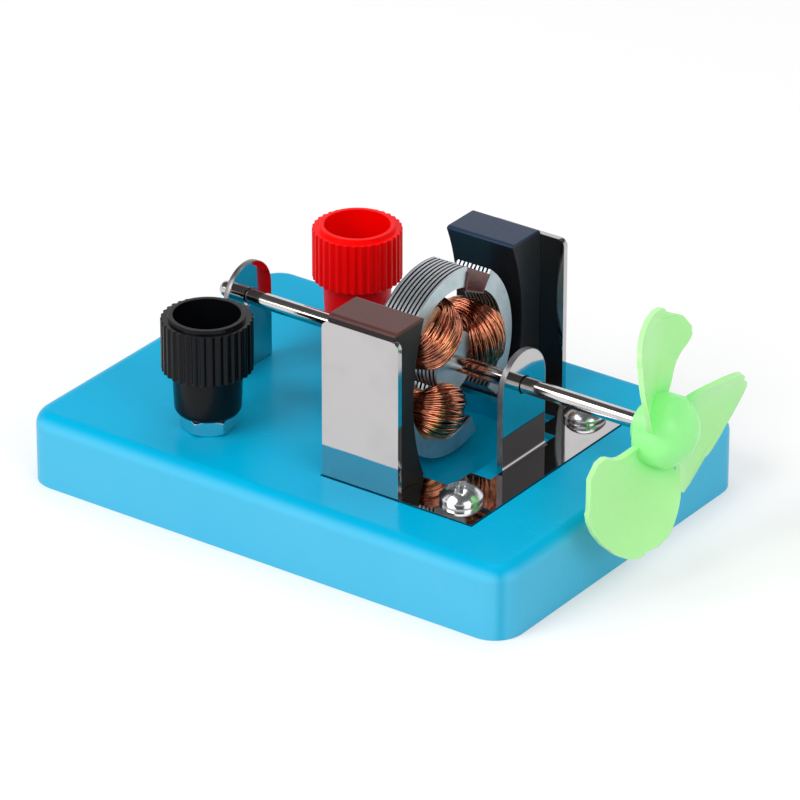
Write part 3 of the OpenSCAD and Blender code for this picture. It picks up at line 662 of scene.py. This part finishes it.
@dataclass(frozen=True)
class EnamelledWire(Finish):
    """Copper wire under clear lacquer, from golden to maroon along its turns.

    Attributes:
        bright: The colour of most turns.
        golden: The colour of the lightest turns.
        maroon: The colour where the lacquer is thick.
        nick_depth: Depth of the small nicks.
    """

    bright: Colour
    golden: Colour
    maroon: Colour
    nick_depth: float = 0.006 * MM

    def mix(self, palette: Palette) -> None:
        """Adds the nodes of the finish.

        Args:
            palette: The material that is being mixed.
        """
        at = palette.place()
        tone = palette.noise(at, 420, 3, 0.6)
        drift = palette.noise(at, 110, 2)
        nick = palette.noise(at, 2600, 2)
        first = palette.blend(tone.between(0.44, 0.62) * 0.6, self.bright, self.maroon)
        palette.surface(
            Base_Color=palette.blend(drift.between(0.52, 0.68) * 0.5, first, self.golden),
            Metallic=1.0,
            Roughness=0.1 + tone * 0.12,
            Normal=palette.bump(nick, self.nick_depth),
            Coat_Weight=0.4,
            Coat_Roughness=0.08,
        )


@dataclass(frozen=True)
class Fibre(Finish):
    """Pressed insulating paper or wound resin.

    Attributes:
        colour: The colour of most of it.
        fleck: The colour of its strands.
        roughness: Its mean roughness.
        strand_depth: Depth of the strands.
    """

    colour: Colour
    fleck: Colour
    roughness: float = 0.6
    strand_depth: float = 0.03 * MM

    def mix(self, palette: Palette) -> None:
        """Adds the nodes of the finish.

        Args:
            palette: The material that is being mixed.
        """
        at = palette.place((1, 4, 4))
        strand = palette.noise(at, 500, 5, 0.7)
        palette.surface(
            Base_Color=palette.blend(strand.between(0.4, 0.7), self.colour, self.fleck),
            Roughness=self.roughness + (strand - 0.5) * 0.2,
            Normal=palette.bump(strand, self.strand_depth),
        )


BASE_PLASTIC = MouldedPlastic(
    "base_plastic",
    (0.0, 0.395, 0.655, 1),
    (0.0, 0.37, 0.62, 1),
    roughness=0.22,
    gloss=0.05,
    # Painted sheen: the lighter blue of the base's outer sides.
    sheen_colour=(0.14, 0.60, 0.86, 1),
)
BLACK_PLASTIC = MouldedPlastic(
    "black_plastic", (0.002, 0.0022, 0.003, 1), (0.004, 0.0045, 0.006, 1), roughness=0.2, gloss=0.17
)
RED_PLASTIC = MouldedPlastic(
    "red_plastic",
    (0.86, 0.0, 0.0, 1),
    (0.80, 0.0, 0.0, 1),
    roughness=0.34,
    gloss=0.12,
    soft_light=0.3,
)
FAN_PLASTIC = ClearGreenPlastic("fan_plastic", (0.46, 1.0, 0.37, 1), (0.33, 1.0, 0.32, 1))
POLISHED_STEEL = Metal(
    "polished_steel",
    (0.53, 0.515, 0.52, 1),
    (0.45, 0.435, 0.44, 1),
    roughness=0.035,
    smudge=0.05,
    wave_depth=0.02 * MM,
    line_depth=0.0006 * MM,
    tab_r=6 * MM,
)
SCREW_STEEL = Metal("screw_steel", (0.80, 0.83, 0.85, 1), (0.60, 0.63, 0.66, 1), roughness=0.19)
SHAFT_STEEL = Metal(
    "shaft_steel",
    (0.64, 0.60, 0.58, 1),
    (0.24, 0.16, 0.13, 1),
    roughness=0.08,
    smudge=0.05,
    lines=(9, 1, 1),
    line_scale=260,
    line_depth=0.002 * MM,
)
ROTOR_STEEL = StackedSteel(
    "rotor_steel",
    face=(0.58, 0.66, 0.70, 1),
    # Painted shade in the gaps between the sheets.
    gap_shade=(0.012, 0.013, 0.016, 1),
    rim=(0.54, 0.56, 0.59, 1),
    worn=(0.42, 0.46, 0.50, 1),
    rust=(0.20, 0.13, 0.09, 1),
)
# The two magnets differ mainly in their top colours, which are painted reflections: brownish on the near
# magnet, bluish on the far one.
NEAR_FERRITE = Ferrite(
    "near_ferrite", (0.009, 0.008, 0.008, 1), (0.036, 0.024, 0.022, 1), (0.093, 0.031, 0.028, 1)
)
FAR_FERRITE = Ferrite(
    "far_ferrite", (0.007, 0.007, 0.009, 1), (0.030, 0.028, 0.032, 1), (0.016, 0.033, 0.074, 1)
)
COPPER_WIRE = EnamelledWire(
    "copper_wire", (0.74, 0.27, 0.15, 1), (0.72, 0.38, 0.13, 1), (0.17, 0.03, 0.015, 1)
)
COPPER_SHEET = Metal(
    "copper_sheet", (0.85, 0.42, 0.24, 1), (0.45, 0.18, 0.09, 1), 0.18, smudge=0.16, lines=(8, 1, 1)
)
BRUSH_BRONZE = Metal(
    "brush_bronze", (0.80, 0.50, 0.24, 1), (0.50, 0.26, 0.11, 1), 0.2, smudge=0.14, lines=(1, 1, 7)
)
BRASS = Metal(
    "brass", (0.80, 0.60, 0.25, 1), (0.55, 0.36, 0.12, 1), 0.2, smudge=0.14, lines=(5, 1, 1)
)
POLE_PAPER = Fibre("pole_paper", (0.36, 0.17, 0.09, 1), (0.50, 0.28, 0.15, 1))
SLOT_CARD = Fibre("slot_card", (0.075, 0.020, 0.017, 1), (0.12, 0.038, 0.030, 1), 0.38)
SLEEVE_RESIN = Fibre("sleeve_resin", (0.10, 0.035, 0.02, 1), (0.17, 0.07, 0.04, 1), 0.4)


# ---------- modelling by operators ----------


class Bench:
    """Steps of modelling that every sub-assembly uses, made with Blender's own operators."""

    @staticmethod
    def clear() -> None:
        """Leaves edit mode and selects nothing."""
        if bpy.context.object and bpy.context.object.mode != "OBJECT":
            bpy.ops.object.mode_set(mode="OBJECT")
        bpy.ops.object.select_all(action="DESELECT")

    @staticmethod
    def take(piece: bpy.types.Object) -> None:
        """Selects one object alone and makes it active.

        Args:
            piece: The object.
        """
        Bench.clear()
        piece.select_set(True)
        bpy.context.view_layer.objects.active = piece

    @staticmethod
    def edit(piece: bpy.types.Object) -> None:
        """Opens an object in edit mode, with all of it selected.

        Args:
            piece: The object.
        """
        Bench.take(piece)
        bpy.ops.object.mode_set(mode="EDIT")
        bpy.ops.mesh.select_all(action="SELECT")

    @staticmethod
    def modify(piece: bpy.types.Object, kind: str, **settings: Any) -> None:
        """Adds a modifier and applies it.

        Args:
            piece: The object.
            kind: The modifier's type.
            settings: Its settings.
        """
        Bench.take(piece)
        modifier = piece.modifiers.new(kind.lower(), kind)
        for key, value in settings.items():
            setattr(modifier, key, value)
        bpy.ops.object.modifier_apply(modifier=modifier.name)

    @staticmethod
    def smooth(piece: bpy.types.Object, degrees: float) -> None:
        """Shades smoothly across edges that are flatter than an angle.

        Args:
            piece: The object.
            degrees: The angle.
        """
        Bench.take(piece)
        bpy.ops.object.shade_smooth_by_angle(angle=math.radians(degrees))
        Bench.modify(piece, "WEIGHTED_NORMAL", weight=100, keep_sharp=True)

    @staticmethod
    def join(name: str, pieces: Sequence[bpy.types.Object]) -> bpy.types.Object:
        """Joins pieces into one object.

        Args:
            name: The joined object's name.
            pieces: The pieces.

        Returns:
            The joined object.
        """
        Bench.clear()
        for piece in pieces:
            piece.select_set(True)
        bpy.context.view_layer.objects.active = pieces[0]
        bpy.ops.object.join()
        pieces[0].name = pieces[0].data.name = name
        return pieces[0]

    @staticmethod
    def wire(name: str, points: Sequence[Vector], radius: float, sides: int) -> bpy.types.Object:
        """Round wire along points.

        Args:
            name: The object's name.
            points: The points of its middle line.
            radius: The wire's radius.
            sides: Number of sides of its section, even and at least 4.

        Returns:
            The wire as a mesh.
        """
        curve = bpy.data.curves.new(name, "CURVE")
        curve.dimensions = "3D"
        curve.bevel_depth = radius
        curve.bevel_resolution = (sides - 4) // 2
        curve.use_fill_caps = True
        spline = curve.splines.new("POLY")
        spline.points.add(len(points) - 1)
        for place, point in zip(spline.points, points, strict=True):
            place.co = (*point, 1)
        piece = bpy.data.objects.new(name, curve)
        bpy.context.scene.collection.objects.link(piece)
        Bench.take(piece)
        bpy.ops.object.convert(target="MESH")
        bpy.ops.object.shade_smooth()
        return bpy.context.object


@dataclass
class Workshop:
    """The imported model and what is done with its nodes.

    Attributes:
        frame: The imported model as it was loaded.
        done: The nodes that have their looks.
        merge: Distance within which a copy's corners are one.
        flat: Angle in degrees under which a copy's faces are one.
    """

    frame: dict[str, Any]
    done: list[str] = field(default_factory=list)
    merge: float = 0.002 * MM
    flat: float = 0.4

    def coat(self, piece: bpy.types.Object, finish: Finish) -> None:
        """Gives every part of a piece one finish.

        Args:
            piece: The piece.
            finish: The finish.
        """
        piece.data.materials.clear()
        piece.data.materials.append(finish.material())
        for face in piece.data.polygons:
            face.material_index = 0

    def carry(self, node: str, finish: Finish) -> None:
        """Keeps a node of the model as it is and gives it a finish.

        Args:
            node: The node.
            finish: Its finish.
        """
        piece = self.frame["nodes"][node]
        if not piece.material_slots:
            piece.data.materials.append(None)
        for slot in piece.material_slots:
            slot.material = finish.material()
        self.done.append(node)
        LOG.info("%s keeps its solid, in %s", node, finish.name)

    def copy(self, node: str) -> bpy.types.Object:
        """A copy of a node's mesh with its triangles merged into whole faces.

        Args:
            node: The node.

        Returns:
            The copy, which rides on nothing yet.
        """
        piece = bpy.data.objects.new(f"{node}_piece", self.frame["nodes"][node].data.copy())
        bpy.context.scene.collection.objects.link(piece)
        Bench.edit(piece)
        bpy.ops.mesh.remove_doubles(threshold=self.merge)
        bpy.ops.mesh.dissolve_limited(angle_limit=math.radians(self.flat))
        Bench.clear()
        return piece

    def seat(
        self, piece: bpy.types.Object, body: Body, slot: str, finish: Finish, node: str
    ) -> None:
        """Puts a finished piece on its body in place of a node.

        Args:
            piece: The piece.
            body: The body that it moves with.
            slot: The record's material slot; not used.
            finish: Its finish.
            node: The node that it stands for.
        """
        self.coat(piece, finish)
        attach(piece, body.value)
        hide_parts(node)
        self.done.append(node)
        LOG.info("%s on %s in %s, for %s", piece.name, body.value, finish.name, node)

    def soften(
        self,
        node: str,
        body: Body,
        slot: str,
        finish: Finish,
        width: float,
        segments: int = 2,
        degrees: float = 30,
    ) -> None:
        """Stands a copy with broken edges in place of a node.

        Args:
            node: The node.
            body: The body that it moves with.
            slot: The record's material slot; handed on to seat, which doesn't use it.
            finish: Its finish.
            width: Width of the broken edge.
            segments: Steps across the broken edge.
            degrees: Edges sharper than this are broken.
        """
        piece = self.copy(node)
        Bench.modify(
            piece,
            "BEVEL",
            width=width,
            segments=segments,
            limit_method="ANGLE",
            angle_limit=math.radians(degrees),
        )
        Bench.smooth(piece, degrees + 8)
        self.seat(piece, body, slot, finish, node)


# ---------- the sub-assemblies ----------


@dataclass
class BaseAndPosts:
    """Moulded base with what is screwed to it, and the two posts.

    Attributes:
        shop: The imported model.
        base_edge: Width of the base's broken edges.
        cap_edge: Width of a cap's broken edges.
        strip_edge: Width of a contact strip's broken edges.
        nut_edge: Width of a nut's broken edges.
    """

    shop: Workshop
    base_edge: float = 0.3 * MM
    cap_edge: float = 0.1 * MM
    strip_edge: float = 0.05 * MM
    nut_edge: float = 0.12 * MM

    def build(self) -> None:
        """Builds the base, the studs, the contact strips and the caps."""
        soften = self.shop.soften
        soften("base", Body.BASE, "base_plastic", BASE_PLASTIC, self.base_edge, 3)
        for side, knob, plastic in (
            ("black", Body.BLACK_KNOB, BLACK_PLASTIC),
            ("red", Body.RED_KNOB, RED_PLASTIC),
        ):
            soften(f"{side}_cap", knob, f"{side}_plastic", plastic, self.cap_edge)
            self.shop.carry(f"{side}_cap_insert", BRASS)
            self.shop.carry(f"{side}_post_stud", SCREW_STEEL)
            soften(f"{side}_contact_strip", Body.BASE, "brass_strip", BRASS, self.strip_edge, 1)
        for node in ("post_seat_nuts", "post_under_nuts"):
            soften(node, Body.BASE, "screw_steel", SCREW_STEEL, self.nut_edge)


@dataclass
class Yoke:
    """Bent steel yoke with its two magnets and its screws.

    Attributes:
        shop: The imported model.
        sheet_edge: Width of the bent sheets' broken edges.
        magnet_edge: Width of a magnet's rounded edges.
        screw_edge: Width of a screw's broken edges.
        nut_edge: Width of a nut's broken edges.
    """

    shop: Workshop
    sheet_edge: float = 0.14 * MM
    magnet_edge: float = 1.0 * MM
    screw_edge: float = 0.08 * MM
    nut_edge: float = 0.12 * MM

    def build(self) -> None:
        """Builds the yoke, the magnets and the fasteners."""
        soften = self.shop.soften
        for node in ("yoke_plate", "rear_bearing_bracket"):
            soften(node, Body.BASE, "polished_steel", POLISHED_STEEL, self.sheet_edge)
        for node, ferrite in (("near_magnet", NEAR_FERRITE), ("far_magnet", FAR_FERRITE)):
            soften(node, Body.BASE, "ferrite", ferrite, self.magnet_edge, 5)
        for node in ("yoke_screws", "bracket_screw"):
            soften(node, Body.BASE, "screw_steel", SCREW_STEEL, self.screw_edge)
        for node in ("yoke_nuts", "bracket_nut"):
            soften(node, Body.BASE, "screw_steel", SCREW_STEEL, self.nut_edge)


@dataclass
class Winding:
    """One coil of enamelled wire, wound turn by turn on its pole.

    A turn's height is a share from -1 at the hub to 1 at the shoe.

    Attributes:
        shop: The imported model.
        node: The coil's node.
        pole_degrees: The pole's direction, counted from the red post's side upwards.
        seed: Start of the small irregularities.
        side_r: Radius of the middle of the coil's sides.
        side_half: Half height of its sides.
        end_r: Radius of the middle of its bulging ends.
        end_half: Half height of its ends.
        half_length: Half length along the shaft at the fullest turn.
        half_width: Half width across the pole at the fullest turn.
        end_draw: How much shorter the turns at the hub and the shoe are.
        shoe_draw: How much narrower the turn at the shoe is.
        hub_draw: How much narrower the turn at the hub is.
        wire_r: Radius of the wire.
        seen_sides: Sides of the wire's section in the two outermost layers.
        hidden_sides: Sides of its section further in.
        turns: Turns in a layer; the outermost has two fewer.
        layers: Number of layers.
        layer_step: Distance between layers.
        steps: Points in a turn.
        stagger: How far a turn's height wanders.
        low_lift: How far a wire may sink into its layer.
        high_lift: How far it may stand off its layer.
        slope: How much the turns of one layer cross those of the next.
        ripple: Height of the small waves along a turn.
        stray_lift: How far a stray turn stands off the outermost layer.
        strays: The heights at which each stray turn starts and ends.
    """

    shop: Workshop
    node: str
    pole_degrees: float
    seed: int
    side_r: float = 8.3 * MM
    side_half: float = 2.4 * MM
    end_r: float = 8.0 * MM
    end_half: float = 4.35 * MM
    half_length: float = 6.2 * MM
    half_width: float = 6.15 * MM
    end_draw: float = 0.34
    shoe_draw: float = 0.28
    hub_draw: float = 0.16
    wire_r: float = 0.225 * MM
    seen_sides: int = 8
    hidden_sides: int = 6
    turns: int = 18
    layers: int = 5
    layer_step: float = 0.38 * MM
    steps: int = 44
    stagger: float = 0.05
    low_lift: float = -0.10 * MM
    high_lift: float = 0.13 * MM
    slope: float = 0.09
    ripple: float = 0.022
    stray_lift: float = 0.22 * MM
    strays: tuple[tuple[float, float], ...] = (
        (-0.7, -0.1),
        (0.55, 0.05),
        (-0.2, 0.5),
        (0.25, -0.4),
        (0.0, 0.75),
    )

    def pole(self) -> Matrix:
        """The pole's own frame: first along the shaft, then across the pole, then outwards.

        Returns:
            The matrix from that frame to the model's.
        """
        turn = math.radians(self.pole_degrees - 90)
        return Matrix.Translation((ROTOR_MIDDLE_X, 0, AXIS_Z)) @ Matrix.Rotation(turn, 4, "X")

    def point(self, share: float, angle: float, depth: float, lift: float) -> Vector:
        """A point of a turn in the pole's frame.

        Args:
            share: The turn's height.
            angle: How far round the turn, in radians, from the front.
            depth: How far the layer lies inside the outermost one.
            lift: How far the wire stands off its layer.

        Returns:
            The point.
        """
        c, s = math.cos(angle), math.sin(angle)
        fullness = 1 - self.end_draw * abs(share) ** 2.6
        width = 1 - self.shoe_draw * max(0.0, share) ** 2 - self.hub_draw * max(0.0, -share) ** 2
        roundness = max(0.5, 1 - 0.4 * share * share - 0.22 * depth / MM)
        x = (self.half_length * fullness - depth + lift) * math.copysign(abs(c) ** roundness, c)
        y = (self.half_width * width - depth + lift) * math.copysign(abs(s) ** roundness, s)
        at_end = abs(c) ** 1.2
        middle = self.side_r + (self.end_r - self.side_r) * at_end
        half = self.side_half + (self.end_half - self.side_half) * at_end
        return Vector((x, y, middle + share * half))

    def layer(self, index: int, draw: random.Random) -> list[Vector]:
        """The middle line of one layer of turns.

        Args:
            index: Which layer, from the outermost.
            draw: Source of the small irregularities.

        Returns:
            The points, in the model's frame.
        """
        frame = self.pole()
        turns = self.turns if index else self.turns - 2
        wander = [draw.uniform(-self.stagger, self.stagger) for _ in range(turns + 2)]
        lean = [draw.uniform(-self.stagger, self.stagger) for _ in range(turns + 2)]
        phase = [draw.uniform(0, 2 * math.pi) for _ in range(turns + 2)]
        lift = [draw.uniform(self.low_lift, self.high_lift) for _ in range(2 * turns + 4)]
        cross = self.slope * (-1) ** index
        points = []
        for step in range(turns * self.steps + 1):
            turn = step / self.steps
            angle = 2 * math.pi * turn
            whole = int(turn)
            part = turn - whole
            ease = part * part * (3 - 2 * part)
            shift, slant, start = (
                row[whole] * (1 - ease) + row[whole + 1] * ease for row in (wander, lean, phase)
            )
            low = int(2 * turn)
            rise = lift[low] * (1 - 2 * turn + low) + lift[low + 1] * (2 * turn - low)
            share = -1 + 2 * turn / turns + shift + (slant + cross) * math.sin(angle)
            share += self.ripple * math.sin(3 * angle + start)
            share = max(-1.0, min(1.0, share))
            points.append(frame @ self.point(share, angle, index * self.layer_step, rise))
        return points

    def stray(self, start: float, end: float) -> list[Vector]:
        """A turn that crosses the others.

        Args:
            start: Its height where it starts.
            end: Its height where it ends.

        Returns:
            The points, in the model's frame.
        """
        frame = self.pole()
        points = []
        for step in range(self.steps + 1):
            part = step / self.steps
            angle = 2 * math.pi * (part - 0.5)
            share = start + (end - start) * (0.5 + 0.5 * math.sin(angle / 2))
            lift = self.stray_lift * math.sin(math.pi * part) ** 0.5 if 0 < part < 1 else 0
            points.append(frame @ self.point(share, angle, 0, lift))
        return points

    def build(self) -> None:
        """Winds the coil and puts it in place of its solid."""
        draw = random.Random(self.seed)
        wires = []
        for index in range(self.layers):
            sides = self.seen_sides if index < 2 else self.hidden_sides
            wires.append(Bench.wire(f"layer_{index}", self.layer(index, draw), self.wire_r, sides))
        for start, end in self.strays:
            wires.append(Bench.wire("stray", self.stray(start, end), self.wire_r, self.seen_sides))
        piece = Bench.join(f"{self.node}_winding", wires)
        self.shop.seat(piece, Body.ROTOR, "copper_wire", COPPER_WIRE, self.node)


@dataclass
class Rotor:
    """Shaft, sheet stack, windings and commutator.

    Attributes:
        shop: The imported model.
        poles: Each coil's node and its pole's direction in degrees.
        first_seed: Start of the first coil's irregularities.
        shaft_edge: Width of the shaft's broken edges.
        ring_edge: Width of the broken edges of the commutator's sleeve and ring.
        segment_edge: Width of its segments' broken edges.
    """

    shop: Workshop
    poles: tuple[tuple[str, float], ...] = (
        ("coil_near", 125.0),
        ("coil_low", 245.0),
        ("coil_far", 5.0),
    )
    first_seed: int = 11
    shaft_edge: float = 0.05 * MM
    ring_edge: float = 0.1 * MM
    segment_edge: float = 0.06 * MM

    def build(self) -> None:
        """Builds everything that turns, apart from the fan."""
        soften, carry = self.shop.soften, self.shop.carry
        soften("shaft", Body.ROTOR, "shaft_steel", SHAFT_STEEL, self.shaft_edge)
        carry("rotor_laminations", ROTOR_STEEL)
        carry("pole_insulators", POLE_PAPER)
        carry("slot_liner", SLOT_CARD)
        for index, (node, degrees) in enumerate(self.poles):
            Winding(self.shop, node, degrees, self.first_seed + index).build()
        carry("coil_end_wires", COPPER_WIRE)
        soften("commutator_sleeve", Body.ROTOR, "sleeve_resin", SLEEVE_RESIN, self.ring_edge)
        soften("commutator_segments", Body.ROTOR, "copper_sheet", COPPER_SHEET, self.segment_edge)
        soften("commutator_ring", Body.ROTOR, "sleeve_resin", SLEEVE_RESIN, self.ring_edge)


@dataclass
class Brushes:
    """The two spring strips and their screws.

    Attributes:
        shop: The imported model.
        edge: Width of the broken edges.
    """

    shop: Workshop
    edge: float = 0.06 * MM

    def build(self) -> None:
        """Builds the brushes and their fasteners."""
        soften = self.shop.soften
        for node in ("black_brush", "red_brush"):
            soften(node, Body.BASE, "brush_bronze", BRUSH_BRONZE, self.edge)
        for node in ("brush_screws", "brush_nuts"):
            soften(node, Body.BASE, "screw_steel", SCREW_STEEL, self.edge)


@dataclass
class Fan:
    """Three-blade fan pressed on the shaft's front end.

    Attributes:
        shop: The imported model.
        edge: Width of the broken edges.
        least_degrees: Edges sharper than this are broken.
    """

    shop: Workshop
    edge: float = 0.2 * MM
    least_degrees: float = 38

    def build(self) -> None:
        """Builds the fan."""
        soften = self.shop.soften
        soften("fan", Body.ROTOR, "fan_plastic", FAN_PLASTIC, self.edge, degrees=self.least_degrees)


# ---------- the studio ----------


def outward(azimuth: float, elevation: float) -> Vector:
    """Direction from the object to a viewer or a lamp.

    Args:
        azimuth: Degrees round the object, from the near side's middle towards the fan.
        elevation: Degrees above the horizon.

    Returns:
        The direction.
    """
    a, e = math.radians(azimuth), math.radians(elevation)
    return Vector((math.sin(a) * math.cos(e), -math.cos(a) * math.cos(e), math.sin(e)))


@dataclass(frozen=True)
class Lamp:
    """A soft square lamp that points at the rotor.

    Attributes:
        name: Its name.
        azimuth: Degrees round the object, from the near side's middle towards the fan.
        elevation: Degrees above the horizon.
        distance: Its distance in metres.
        side: Its side in metres.
        power: Its power in watts.
        aim_z: The height that it points at.
    """

    name: str
    azimuth: float
    elevation: float
    distance: float
    side: float
    power: float
    aim_z: float = 20 * MM

    def hang(self) -> None:
        """Adds the lamp."""
        data = bpy.data.lights.new(self.name, "AREA")
        data.energy, data.size = self.power, self.side
        lamp = bpy.data.objects.new(self.name, data)
        bpy.context.scene.collection.objects.link(lamp)
        back = outward(self.azimuth, self.elevation)
        lamp.location = Vector((0, 0, self.aim_z)) + back * self.distance
        lamp.rotation_euler = (-back).to_track_quat("-Z", "Y").to_euler()
        LOG.info("%s lamp, %s W", self.name, self.power)


@dataclass
class Studio:
    """White table, soft lamps, whitish surroundings and the camera.

    Attributes:
        camera_place: Where the camera stands.
        azimuth: Its direction, in degrees as a lamp's.
        elevation: Degrees above the horizon.
        roll: How far it leans, in degrees.
        lens: Its focal length in millimetres.
        sensor: Its sensor's width in millimetres.
        floor_half: Half width of the table.
        floor_drop: How far the table lies under the base.
        floor_paint: Lightness of the table.
        floor_glow: How much the table glows where it is seen.
        ambient: Strength of the surroundings' light.
        window_east: Where a bright window starts and is whole towards the rear, seen by shiny parts.
        window_north: Where it starts and is whole towards the red post.
        window_rise: How much higher the dark ceiling starts behind the window.
        ceiling: The heights between which the ceiling darkens.
        ceiling_dark: How dark the ceiling gets.
        lamps: The lamps.
    """

    camera_place: Triple = (0.518613, -0.719963, 0.472476)
    azimuth: float = 35.584
    elevation: float = 27.291
    roll: float = 0.056
    lens: float = 277.09
    sensor: float = 36.0
    floor_half: float = 3.0
    floor_drop: float = 0.02 * MM
    floor_paint: float = 0.62
    floor_glow: float = 0.32
    ambient: float = 0.62
    window_east: tuple[float, float] = (0.1, 0.4)
    window_north: tuple[float, float] = (0.3, 0.6)
    window_rise: float = 0.3
    ceiling: tuple[float, float] = (0.26, 0.5)
    ceiling_dark: float = 0.9
    lamps: tuple[Lamp, ...] = (
        Lamp("key", -20, 40, 0.9, 0.55, 4.6),
        Lamp("front", 70, 30, 1.0, 0.5, 2.4),
        Lamp("above", 200, 76, 1.0, 0.5, 1.6),
    )

    def camera(self) -> None:
        """Sets the camera at the photograph's viewing angle."""
        data = bpy.data.cameras.new("camera")
        data.lens, data.sensor_width = self.lens, self.sensor
        data.clip_start, data.clip_end = 0.01, 20
        camera = bpy.data.objects.new("camera", data)
        bpy.context.scene.collection.objects.link(camera)
        level = (-outward(self.azimuth, self.elevation)).to_track_quat("-Z", "Y")
        camera.rotation_mode = "QUATERNION"
        camera.rotation_quaternion = level @ Quaternion((0, 0, 1), math.radians(self.roll))
        camera.location = self.camera_place
        bpy.context.scene.camera = camera

    def floor(self) -> None:
        """Adds the white table top, which keeps a faint shadow."""
        Bench.clear()
        bpy.ops.mesh.primitive_plane_add(size=2 * self.floor_half, location=(0, 0, -self.floor_drop))
        piece = bpy.context.object
        piece.name = "table_top"
        white = bpy.data.materials.new("table_white")
        palette = Palette(white)
        path = palette.node("ShaderNodeLightPath")
        shiny = Signal(palette, path.outputs["Is Glossy Ray"])
        through = Signal(palette, path.outputs["Is Transmission Ray"])
        seen = Signal(palette, path.outputs["Is Camera Ray"]).most(shiny).most(through)
        grey = self.floor_paint
        paint = palette.node("ShaderNodeBsdfDiffuse", {}, {"Color": (grey, grey, grey, 1)})
        glow = palette.node(
            "ShaderNodeEmission", {}, {"Color": (1, 1, 1, 1), "Strength": self.floor_glow}
        )
        both = palette.node("ShaderNodeAddShader", {}, {0: paint.outputs[0], 1: glow.outputs[0]})
        mixed = palette.node(
            "ShaderNodeMixShader", {}, {0: seen, 1: paint.outputs[0], 2: both.outputs[0]}
        )
        palette.node("ShaderNodeOutputMaterial", {}, {"Surface": mixed.outputs[0]})
        piece.data.materials.append(white)

    def surroundings(self) -> None:
        """Makes the white surroundings, with a darker ceiling that only shiny parts see."""
        world = bpy.data.worlds.new("surroundings")
        bpy.context.scene.world = world
        palette = Palette(world)
        path = palette.node("ShaderNodeLightPath")
        place = palette.node("ShaderNodeTexCoord").outputs["Generated"]
        east, north, height = palette.axes(place)
        window = (0 - east).between(*self.window_east) * north.between(*self.window_north)
        ceiling = (height - window * self.window_rise).between(*self.ceiling)
        camera = Signal(palette, path.outputs["Is Camera Ray"])
        shiny = Signal(palette, path.outputs["Is Glossy Ray"])
        mirrored = 1 - ceiling * self.ceiling_dark
        strength = camera + (1 - camera) * (shiny * mirrored + (1 - shiny) * self.ambient)
        light = palette.node("ShaderNodeBackground", {}, {"Color": (1, 1, 1, 1), "Strength": strength})
        palette.node("ShaderNodeOutputWorld", {}, {"Surface": light.outputs[0]})

    def build(self) -> None:
        """Sets up the camera, the lamps, the table and the surroundings."""
        bpy.context.scene.view_settings.view_transform = "Standard"
        self.surroundings()
        self.floor()
        for lamp in self.lamps:
            lamp.hang()
        self.camera()
        LOG.info("table, surroundings and camera")


def main() -> None:
    """Builds the motor's looks and the studio, in order."""
    logging.basicConfig(level=logging.INFO, format="%(name)s: %(message)s")
    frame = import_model()
    shop = Workshop(frame)
    for maker in (
        BaseAndPosts(shop),
        Yoke(shop),
        Rotor(shop),
        Brushes(shop),
        Fan(shop),
        Studio(),
    ):
        maker.build()
    left = sorted(set(frame["nodes"]) - set(shop.done))
    if left:
        raise RuntimeError(f"no looks for {left}")
    Bench.clear()


if __name__ == "__main__":
    main()
